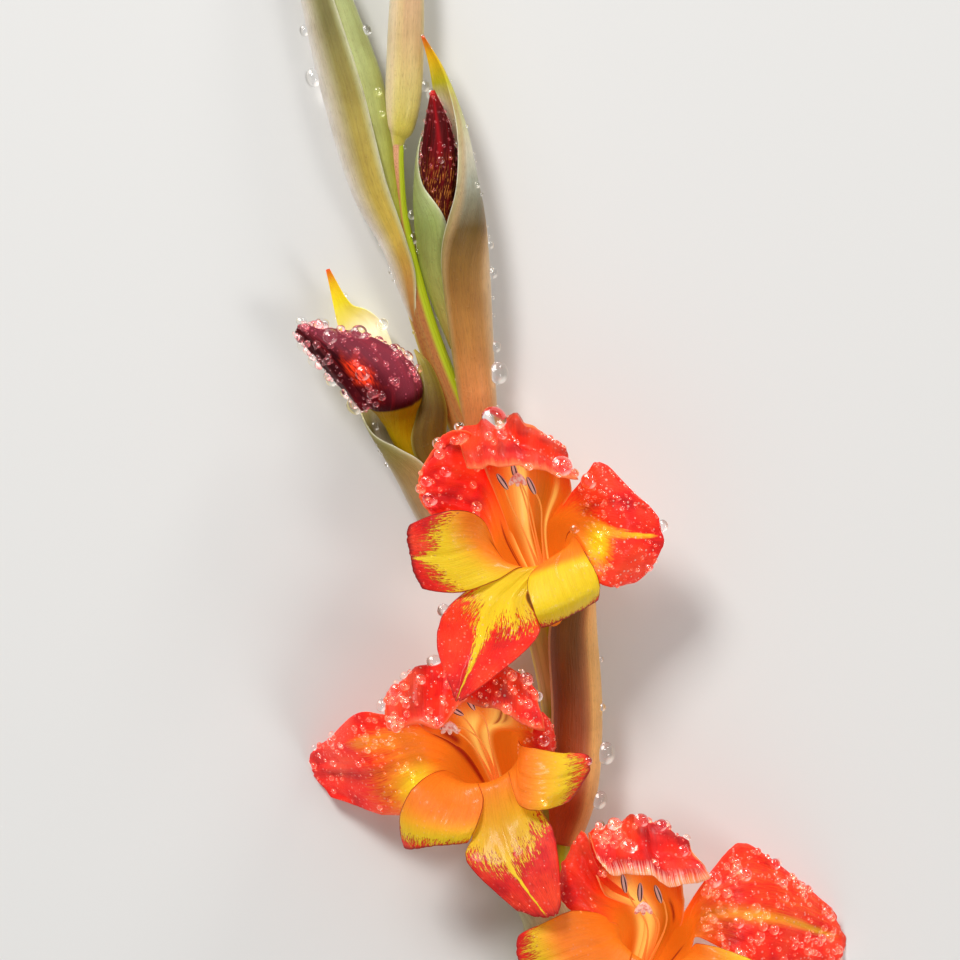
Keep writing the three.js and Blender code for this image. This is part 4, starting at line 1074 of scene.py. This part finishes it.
# Buds, from the axil to the tip: [x, y, z, radius] in mm. depth, twist: of the folds of the furled tepals,
# as a share of the radius and in degrees; along: colours from the axil to the tip; patch: a glowing spot,
# [x, y, half length, half width]; gold: how far up golden streaks reach; ridge: how red the line on its top
# is
buds = {
    "bud_nodding": dict(depth=0.16, twist=150, slot="bud", patch=(-30.2, 26.6, 5.2, 2.3),
        line=[[-5, -13, 11.6, 2], [-12, -1, 12, 2.4], [-18.2, 9, 13, 3], [-20.2, 16, 14.6, 4.8],
        [-21.9, 22, 16.4, 8.2], [-26.5, 26.6, 17, 8.5], [-33, 30.6, 16.8, 6.7], [-40, 34.6, 16, 3.9],
        [-45.6, 38.2, 15.2, 1.5]], along=[(0.0, 160, 130, 20), (0.3, 184, 146, 8), (0.44, 164, 122, 4),
        (0.452, 60, 4, 8), (0.5, 76, 5, 14), (0.62, 72, 4, 12), (0.8, 46, 2, 5), (1, 60, 4, 8)]),
    "bud_upright": dict(depth=0.14, twist=120, slot="bud", gold=0.7, ridge=1, line=[[0.6, 15, 12.6, 1.6],
        [-2, 34, 11.8, 2.2], [-6.8, 54, 10.8, 2.6], [-9.4, 66, 11.2, 4.3], [-9.8, 78, 11.8, 4.9],
        [-10.6, 88, 12, 3.5], [-11.9, 97.8, 12, 0.5]], along=[(0.0, 190, 180, 60), (0.4, 130, 60, 20),
        (0.5, 70, 16, 8), (0.68, 66, 5, 6), (0.9, 72, 8, 8), (0.97, 128, 12, 12), (1, 230, 44, 36)]),
    "bud_top": dict(depth=0.05, twist=40, slot="bract", line=[[-20.7, 86.4, 8.8, 1.4], [-19.1, 99, 9.4, 3],
        [-18.4, 120, 9.4, 2.8], [-17.9, 138, 9.1, 1.6], [-17.5, 150, 8.8, 0.5]],
        along=[(0.0, 200, 205, 110), (0.6, 185, 195, 110), (1, 170, 170, 100)]),
}
budLook = {
    "finish": dict(roughness=0.46, coat=0.0, coatRoughness=0.10, specular=0.07, glow=0.08),
    "streaks": (30, 5, 4.0), "fineVeins": (110, 30, 3.0), "cells": 1500, "flare": tint(124, 12, 18),
    "flareIn": [(0.50, 0), (0.74, 0.8)], "flareFrom": [(0.44, 0), (0.50, 1)], "gold": tint(206, 128, 50),
    "goldIn": [(0.54, 0), (0.66, 0.8)], "patch": tint(244, 60, 24), "patchIn": [(0.38, 0.15), (0.58, 1)],
    "ridge": tint(160, 8, 18), "wetSheen": tint(188, 78, 96), "pale": tint(206, 208, 130),
    "wetSheenLeast": 0.42, "wetSheenByBeads": 1.3, "light": 0.6, "patchLight": 2.5,
    "veinBump": 0.35, "cellBump": 0.10,
}
# Where the painted wet sheen, the ridge and the golden streaks lie on a bud, along it or round it, and
# their shares
budZones = {
    "ragged": 0.6, "wetSheen": (0.46, 0.6), "wetSheenShare": 0.2, "goldWetSheenShare": 0.3, "sideWetSheen": 0.8,
    "sideWetSheenRound": (-0.35, 0.6), "sideWetSheenAlong": (0.46, 0.5), "ridgeShare": 0.8, "ridgeWidth": 0.16,
    "ridgeFrom": (0.68, 0.76), "ridgeFade": 0.4, "ridgeFadeAt": (0.9, 1), "goldFrom": (0.45, 0.5),
}
budShape = {"folds": 3, "foldEdge": 0.06, "foldsFrom": (0.36, 0.5), "mesh": (96, 110), "thinnest": 0.2}


def makeBudMaterial(name, look):
    green = look["slot"] == "bract"
    material, tree, shader = startMaterial(f"{name}Skin", **budLook["finish"])
    across, along = uvOf(tree)
    colour = ramp(along, painted(look["along"]))
    streaks = veinsIn(tree, *budLook["streaks"])
    fine = veinsIn(tree, *budLook["fineVeins"])
    flare = times(ramp(streaks, budLook["flareIn"]), ramp(along, budLook["flareFrom"]))
    colour = mixed(flare, colour, budLook["pale" if green else "flare"])
    spot, wetSheen, ridge, gold = channels(tree, "spots")
    cells, _, beads = skinIn(tree, budLook["cells"])
    # Painted wet sheen, paler where fine wet beads lie
    wetSheenShare = times(wetSheen, plus(times(beads, budLook["wetSheenByBeads"]), budLook["wetSheenLeast"]))
    colour = mixed(wetSheenShare, colour, budLook["pale" if green else "wetSheen"])
    colour = mixed(times(gold, ramp(fine, budLook["goldIn"])), colour, budLook["gold"])
    colour = mixed(ridge, colour, budLook["ridge"])
    colour = mixed(times(spot, ramp(fine, budLook["patchIn"])), colour, budLook["patch"])
    light = plus(times(spot, budLook["patchLight"]), budLook["light"])
    colourIn(shader, colour, mixed(1.0, colour, light, "MULTIPLY"))
    relief = plus(streaks, times(beads, wetSheen))
    roughen(tree, shader, relief, budLook["veinBump"], cells, budLook["cellBump"])
    return material


# How much of the glowing spot, painted wet sheen, red ridge and golden streaks a place on a bud shows
def budMarks(look, place, t, turn):
    zones, facing, spot, gold = budZones, math.sin(turn), 0, look.get("gold", 0)
    if "patch" in look and facing > 0:
        patchX, patchY, halfLength, halfWidth = look["patch"]
        x, y = place.x - patchX, place.y - patchY
        away = Vector(((x - y) / 1.414 / halfLength, (x + y) / 1.414 / halfWidth)).length
        away *= 1 + zones["ragged"] * noise.noise(Vector((place.x * 0.5, place.y * 0.5, 2)))
        spot = math.exp(-away ** 4)
    # Painted wet sheen: strongest on the sides turned away from the bud's top, and along one side
    turnedAway = 0.05 + 0.95 * (1 - max(0, facing)) ** 2
    wetSheen = turnedAway * smooth(*zones["wetSheen"], t) * zones["goldWetSheenShare" if gold else "wetSheenShare"]
    if not gold:
        beside = smooth(*zones["sideWetSheenRound"], math.cos(turn))
        wetSheen += zones["sideWetSheen"] * beside * smooth(*zones["sideWetSheenAlong"], t)
    fromTop = turn - math.pi / 2 + 2 * math.pi * round((math.pi / 2 - turn) / 2 / math.pi)
    ridge = zones["ridgeShare"] * look.get("ridge", 0) * hump(fromTop, 0, zones["ridgeWidth"])
    ridge *= smooth(*zones["ridgeFrom"], t) * (1 - zones["ridgeFade"] * smooth(*zones["ridgeFadeAt"], t))
    golden = smooth(*zones["goldFrom"], t) * (1 - smooth(gold - 0.1, gold + 0.06, t)) if gold else 0
    return spot, wetSheen, ridge, golden


# A furled bud whose mesh turns with its folds, so that each overlap is one clean step
def addBud(name, look):
    shape, twist, spots = budShape, math.radians(look["twist"]), []
    body, sectionAt = addSheet(name + "Body", *shape["mesh"]), crossSections(look["line"])
    for vertex in body.data.vertices:
        t, part = (vertex.co.y + 1) / 2, (vertex.co.x + 1) / 2
        turn = 2 * math.pi * part - twist * t
        section = sectionAt(t)
        saw = (shape["folds"] * part) % 1
        step = smooth(0, shape["foldEdge"], saw)
        fold = step * (1 - saw) - 0.5 * step + 0.1 * math.sin(9 * part * 2 * math.pi) * smooth(0.4, 0.6, t)
        relief = 1 + look["depth"] * fold * smooth(*shape["foldsFrom"], t)
        place = ringPoint(section, max(shape["thinnest"], section[0][3]) * relief, turn)
        vertex.co = inMetres(place)
        spots.extend(budMarks(look, place, t, turn))
    paint(body, {"spots": spots})
    closeRound()
    return body


for name, look in buds.items():
    piece = addBud(name, look)
    piece.data.materials.append(makeBudMaterial(name, look))
    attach(piece, "root")
    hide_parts(name)
print("buds made")


# Water drops, in mm. fields: of each bloom, [tepal, how many, from along, to along, from across, to across,
# smallest and largest radius]; budFields: the same for a bud, without the places across; edges: how many
# small drops along a piece's edges; big: single drops on a piece, [x, y, z, radius]; squash: 1 for a round
# bead; sink: height of a drop's middle, by its radius; lit: the sides with a painted glow and a painted
# highlight, [direction, from, to]
drops = {
    "seed": 7, "squash": 0.8, "sink": 0.4, "fineFrom": 0.7, "meshes": ((8, 5), (10, 6)),
    "bigMesh": (24, 16), "aboveTepal": 3, "tepalReach": 0.006, "outsideBud": 15, "aboveAll": 90,
    "edgeSizes": (0.15, 0.70, 3), "edgeSlope": 0.3, "edgeLowest": 0.004,
    "lit": [((0.52, -0.7, 0.49), 0.8, 0.96), ((-0.4, 0.52, 0.75), 0.965, 0.985)],
    "fields": {
        "A": [(0, 70, 0.55, 1, -0.98, 0.98, 0.3, 1.3), (1, 34, 0.5, 1, -0.9, 0.9, 0.4, 1.9),
            (5, 230, 0.5, 1, -0.98, 0.98, 0.14, 0.7), (3, 60, 0.6, 1, -0.95, 0.95, 0.12, 0.35),
            (2, 24, 0.7, 1, -0.95, 0.95, 0.12, 0.3)],
        "B": [(0, 180, 0.55, 1, -0.98, 0.98, 0.25, 1.1), (0, 80, 0.55, 1, -0.98, 0.98, 0.9, 1.7),
            (1, 90, 0.5, 1, -0.98, 0.98, 0.18, 1), (1, 18, 0.6, 1, 0.2, 0.98, 0.7, 1.2),
            (5, 40, 0.5, 1, -0.95, 0.95, 0.2, 0.6), (3, 24, 0.7, 1, -0.95, 0.95, 0.12, 0.35)],
        "C": [(0, 90, 0.55, 1, -0.98, 0.98, 0.3, 1.1), (0, 36, 0.55, 0.9, -0.98, 0.98, 0.9, 1.6),
            (1, 20, 0.5, 1, -0.9, 0.9, 0.2, 0.6), (5, 150, 0.46, 1, -0.98, 0.98, 0.3, 0.9),
            (5, 70, 0.5, 1, -0.98, 0.98, 0.9, 1.6)],
    },
    "budFields": [("bud_nodding", 220, 0.5, 1, 0.2, 1.3), ("bud_upright", 150, 0.55, 0.99, 0.15, 0.6)],
    "edges": [("bract_aBlade", 50), ("bract_upright_outerBlade", 80), ("spathe_left_outerBlade", 50),
        ("spathe_left_innerBlade", 40), ("spathe_top_outerBlade", 36), ("bract_nodding_outerBlade", 24),
        ("bract_upright_innerBlade", 20)],
    "big": {
        "bloomA": [(3, 14.5, 36, 3.3), (-6, 15, 36, 1.3), (-10, 9.2, 34, 1.6), (-12.2, -4.2, 30, 2),
            (-13.2, 0, 30, 1.5), (-8.6, 2.5, 33, 1.6), (20, 3, 46, 2.7), (27.5, 0, 42, 2.1),
            (5.2, 11, 42, 1.5), (46.2, -11.2, 28, 1.5), (-9.8, -32.5, 30, 1.7), (12, 3, 50, 1.2),
            (42.8, -22.5, 28, 1.1), (24, -12.5, 30, 1.4), (30, -13.5, 32, 1)],
        "bloomB": [(-24.6, -56.3, 34, 1.7), (-20.6, -52.6, 34, 1.8), (-11.8, -44, 33, 1.9),
            (-10.2, -60.6, 38, 1.7), (-6.2, -62, 38, 1.3), (-22, -61, 37, 1.3), (-41.6, -67.2, 6, 1),
            (-37, -65.6, 12, 1.2), (11.2, -50, 34, 1.8), (14.5, -54, 34, 1.4), (16, -65, 34, 1.6),
            (26.8, -70.2, 31, 1.1), (-15, -50, 34, 1.4), (-18, -56, 35, 1.2), (15.8, -80.5, 36, 1)],
        "bloomC": [(33.6, -86.5, 35, 1.9), (40, -85.4, 35, 1.9), (45.4, -86.6, 36, 1.7),
            (58.2, -99.6, 40, 2.2), (50.5, -92.5, 38, 1.5), (37, -92, 40, 2.2), (30, -86.5, 35, 1.4),
            (66, -99, 22, 1.9), (73.5, -96.4, 18, 1.5), (64.5, -110.6, 26, 1.6), (86.8, -108.6, 8, 1.7),
            (79, -101.5, 14, 1.3)],
        "bud_noddingBody": [(-44.8, 39.6, 16, 1.4), (-39.8, 38.4, 19, 1.9), (-37.4, 35.5, 20, 2),
            (-30.4, 36.4, 22, 2.1), (-42.2, 29.2, 16, 1.8), (-37.8, 24.4, 16, 1.6), (-31.6, 18.4, 14, 2.4),
            (-34.8, 21.2, 15, 1.2), (-44.6, 33.6, 15, 1.6), (-29.2, 26.8, 26, 2), (-20.4, 34.4, 20, 1.2),
            (-16.8, 32.4, 18, 1.3)],
        "bract_nodding_outerBlade": [(-26.6, 13.4, 11, 1.2), (-23.6, 39, 12, 1.5)],
        "bud_uprightBody": [(-9.8, 80.2, 17, 1), (-6, 84, 14, 0.9)],
        "bract_upright_outerBlade": [(3.6, 26.8, 12, 2.9), (3.6, 33.4, 12, 1.5), (2.9, 52, 12, 1.6),
            (2.2, 59, 12, 1.1), (-1, 74, 12, 0.9), (-13.6, 96, 12, 1.6)],
        "bract_upright_innerBlade": [(-17, 66.6, 10, 1.3), (-17, 60.6, 10, 1.5)],
        "spathe_left_outerBlade": [(-41.6, 101.2, 7, 2.5), (-43.8, 113, 7, 1.5)],
        "spathe_left_innerBlade": [(-28.6, 113, 9, 1.4), (-25.8, 97.5, 9, 1.1), (-24.8, 92, 9, 0.9)],
        "spathe_top_outerBlade": [(-14.4, 99, 9, 1.6)],
        "bract_aBlade": [(31.6, -68.6, 13, 2.9), (31.2, -80.6, 12, 2.4), (30.4, -57, 13, 1),
            (30.3, -45, 13, 0.8)],
    },
}


waterLook = {
    "finish": dict(roughness=0.02, coat=1.0, coatRoughness=0.02), "ior": 1.33, "cells": 700,
    "clear": [(0.3, 0.0), (0.8, 0.04)], "body": [(0.0, (0.66, 0.64, 0.62, 1)), (0.5, 1)],
}


# Clear water, with painted shade on its sides, a painted glow on the side away from the key lamp and a
# painted highlight on the side that faces it
def makeWater(name, shine, strengths, glow):
    material, tree, shader = startMaterial(name, **waterLook["finish"])
    shader.inputs["IOR"].default_value = waterLook["ior"]
    shader.inputs["Transmission Weight"].default_value = 1.0
    cells, *_ = skinIn(tree, waterLook["cells"])
    tree.links.new(ramp(cells, waterLook["clear"]), shader.inputs["Roughness"])
    normal = addNode(tree, "ShaderNodeTexCoord").outputs["Normal"]
    height = addNode(tree, "ShaderNodeSeparateXYZ", {0: normal}).outputs[2]
    # Painted shade: the base colour is darker where the drop's sides turn away from straight up
    tree.links.new(ramp(height, waterLook["body"]), shader.inputs["Base Color"])
    # Painted glow and painted highlight by the way the surface faces, over a faint painted glow all over
    light = glow
    for (direction, low, high), strength in zip(drops["lit"], strengths):
        facing = addNode(tree, "ShaderNodeVectorMath", {0: normal, 1: direction}, operation="DOT_PRODUCT")
        light = plus(light, ramp(facing.outputs["Value"], [(low, 0), (high, strength)]))
    tree.links.new(mixed(1.0, shine, light, "MULTIPLY"), shader.inputs["Emission Color"])
    shader.inputs["Emission Strength"].default_value = 1.0
    return material


# One bead as points and faces, to be copied into one mesh for each bloom
def beadTemplate(segments, rings):
    deselectAll()
    bpy.ops.mesh.primitive_uv_sphere_add(segments=segments, ring_count=rings, radius=1)
    bead = bpy.context.object
    points = [v.co.copy() for v in bead.data.vertices]
    faces = [tuple(p.vertices) for p in bead.data.polygons]
    bpy.data.objects.remove(bead)
    return points, faces


# One mesh with a bead at every place, from the plain template for small beads and the finer one for large
def addDrops(name, places, templates, water):
    allPoints, allFaces = [], []
    for center, normal, size in places:
        points, faces = templates[1 if size > drops["fineFrom"] else 0]
        turn, first = normal.to_track_quat("Z", "Y"), len(allPoints)
        for p in points:
            place = Vector((p.x, p.y, p.z * drops["squash"])) * size / 1000
            place.rotate(turn)
            allPoints.append(center + normal * size * drops["sink"] / 1000 + place)
        allFaces.extend(tuple(first + k for k in face) for face in faces)
    mesh = bpy.data.meshes.new(name)
    mesh.from_pydata(allPoints, [], allFaces)
    mesh.materials.append(water)
    piece = bpy.data.objects.new(name, mesh)
    bpy.context.collection.objects.link(piece)
    deselectAll()
    piece.select_set(True)
    bpy.context.view_layer.objects.active = piece
    bpy.ops.object.shade_smooth()
    piece.visible_shadow = False
    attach(piece, "root")


def normalAt(surface, u, v):
    step = 0.01
    du = surface(min(1, u + step), v) - surface(max(0, u - step), v)
    dv = surface(u, min(1, v + step)) - surface(u, max(-1, v - step))
    normal = du.cross(dv).normalized()
    return normal if normal.z > 0 else -normal


# A drop's place on a piece: on top of it where it can be seen there, or else hanging beside it
def dropPlace(piece, x, y, z):
    hit, place, normal, _ = piece.ray_cast(inMetres((x, y, drops["aboveAll"])), Vector((0, 0, -1)))
    if not hit:
        beside = inMetres((x, y, z))
        _, place, normal, _ = piece.closest_point_on_mesh(beside)
        normal = (beside - place).normalized()
    return place, normal


# Mostly small drops, with a few large ones
def drawSize(smallest, largest, power=2.5):
    return smallest + (largest - smallest) * random.random() ** power


# Drops on a bloom, dropped onto its tepals from just above them
def bloomDrops(key):
    piece, placed = bpy.data.objects[f"bloom{key}"], []
    for k, count, firstU, lastU, firstV, lastV, *sizes in drops["fields"][key]:
        surface = tepalSurface(blooms[key], blooms[key]["tepals"][k])
        for _ in range(count):
            u, v = random.uniform(firstU, lastU), random.uniform(firstV, lastV)
            size = drawSize(*sizes)
            normal = normalAt(surface, u, v)
            start = inMetres(surface(u, v) + normal * drops["aboveTepal"])
            hit, place, faceNormal, _ = piece.ray_cast(start, -normal, distance=drops["tepalReach"])
            if hit:
                placed.append((place, faceNormal, size))
    return placed


def budDrops(name, count, firstT, lastT, *sizes):
    piece, placed, sectionAt = bpy.data.objects[name + "Body"], [], crossSections(buds[name]["line"])
    for _ in range(count):
        t, turn = random.uniform(firstT, lastT), random.uniform(-0.4, math.pi + 0.4)
        size = drawSize(*sizes)
        row, side, up = sectionAt(t)
        outward = side * math.cos(turn) + up * math.sin(turn)
        start = inMetres(Vector(row[:3]) + outward * drops["outsideBud"])
        hit, place, faceNormal, _ = piece.ray_cast(start, -outward)
        if hit:
            placed.append((place, faceNormal, size))
    return placed


def edgeDrops(name, count):
    slope, lowest, placed = drops["edgeSlope"], drops["edgeLowest"], []
    outer = [v for v in bpy.data.objects[name].data.vertices if abs(v.normal.z) < slope and v.co.z > lowest]
    for _ in range(count):
        vertex = random.choice(outer)
        placed.append((vertex.co.copy(), vertex.normal.copy(), drawSize(*drops["edgeSizes"])))
    return placed


random.seed(drops["seed"])
clearWater = makeWater("clearWater", tint(255, 246, 236), (0.32, 0.9), 0.0)
petalWater = makeWater("petalWater", tint(255, 170, 126), (0.42, 1.0), 0.07)
budWater = makeWater("budWater", tint(255, 122, 128), (0.4, 0.85), 0.06)
templates = [beadTemplate(*mesh) for mesh in drops["meshes"]]
for key in blooms:
    addDrops(f"drops{key}", bloomDrops(key), templates, petalWater)
for name, *field in drops["budFields"]:
    addDrops(name + "Drops", budDrops(name, *field), templates, budWater)
bigPlaces = []
for name, rows in drops["big"].items():
    bigPlaces.extend((*dropPlace(bpy.data.objects[name], x, y, z), size) for x, y, z, size in rows)
addDrops("bigDrops", bigPlaces, [beadTemplate(*drops["bigMesh"])] * 2, clearWater)
edgePlaces = [place for name, count in drops["edges"] for place in edgeDrops(name, count)]
addDrops("edgeDrops", edgePlaces, templates, clearWater)
print("drops made")


# Floor, light and camera

# In metres. sky: how bright it is by height; key, fill, rim: place, size and power of the lamps; lens and
# width: a camera far above that sees this width of the spike
studio = {
    "floor": tint(226, 224, 220), "floorSize": 8, "skyTint": (0.95, 0.97, 1), "skyStrength": 0.6,
    "sky": [(0.5, 0.05), (0.62, 0.2), (0.78, 1.0), (0.90, 1.0), (0.955, 0.2), (1.0, 0.1)],
    "key": ((-0.8, 1.3, 1.6), 0.6, 31), "fill": ((1.3, -0.6, 1.6), 0.6, 9),
    "rim": ((0.9, 1.6, 0.5), 0.4, 9), "lens": 700, "width": 0.240, "focusHeight": 0.03,
}
deselectAll()
bpy.ops.mesh.primitive_plane_add(size=studio["floorSize"], location=(0, 0, -0.0001))
floor = bpy.context.object
bpy.ops.object.transform_apply(location=True)
floor.name = "paleFloor"
floorLook, tree, shader = startMaterial("paleFloor", roughness=0.6, coat=0.0, coatRoughness=0.1)
shader.inputs["Base Color"].default_value = studio["floor"]
floor.data.materials.append(floorLook)

world = bpy.data.worlds.new("studio")
bpy.context.scene.world = world
world.use_nodes = True
sky = world.node_tree
place = addNode(sky, "ShaderNodeTexCoord").outputs["Generated"]
direction = addNode(sky, "ShaderNodeSeparateXYZ", {0: place})
height = plus(times(direction.outputs[2], 0.5), 0.5)
stops = [(at, (*(share * part for part in studio["skyTint"]), 1)) for at, share in studio["sky"]]
sky.links.new(ramp(height, stops), sky.nodes["Background"].inputs["Color"])
sky.nodes["Background"].inputs["Strength"].default_value = studio["skyStrength"]
for name in ("key", "fill", "rim"):
    place, size, power = studio[name]
    bpy.ops.object.light_add(type="AREA", location=place)
    lamp = bpy.context.object
    lamp.name = name
    lamp.data.size = size
    lamp.data.energy = power
    lamp.rotation_euler = (-Vector(place)).to_track_quat("-Z", "Y").to_euler()

lookAt = inMetres((0, 0, 0))
distance = studio["width"] * studio["lens"] / 36
eye = (lookAt.x, lookAt.y, studio["focusHeight"] + distance)
bpy.ops.object.camera_add(location=eye, rotation=(0, 0, 0))
camera = bpy.context.object
camera.data.lens = studio["lens"]
camera.data.clip_end = 50
bpy.context.scene.camera = camera
bpy.context.scene.view_settings.view_transform = "Standard"
print("studio made")
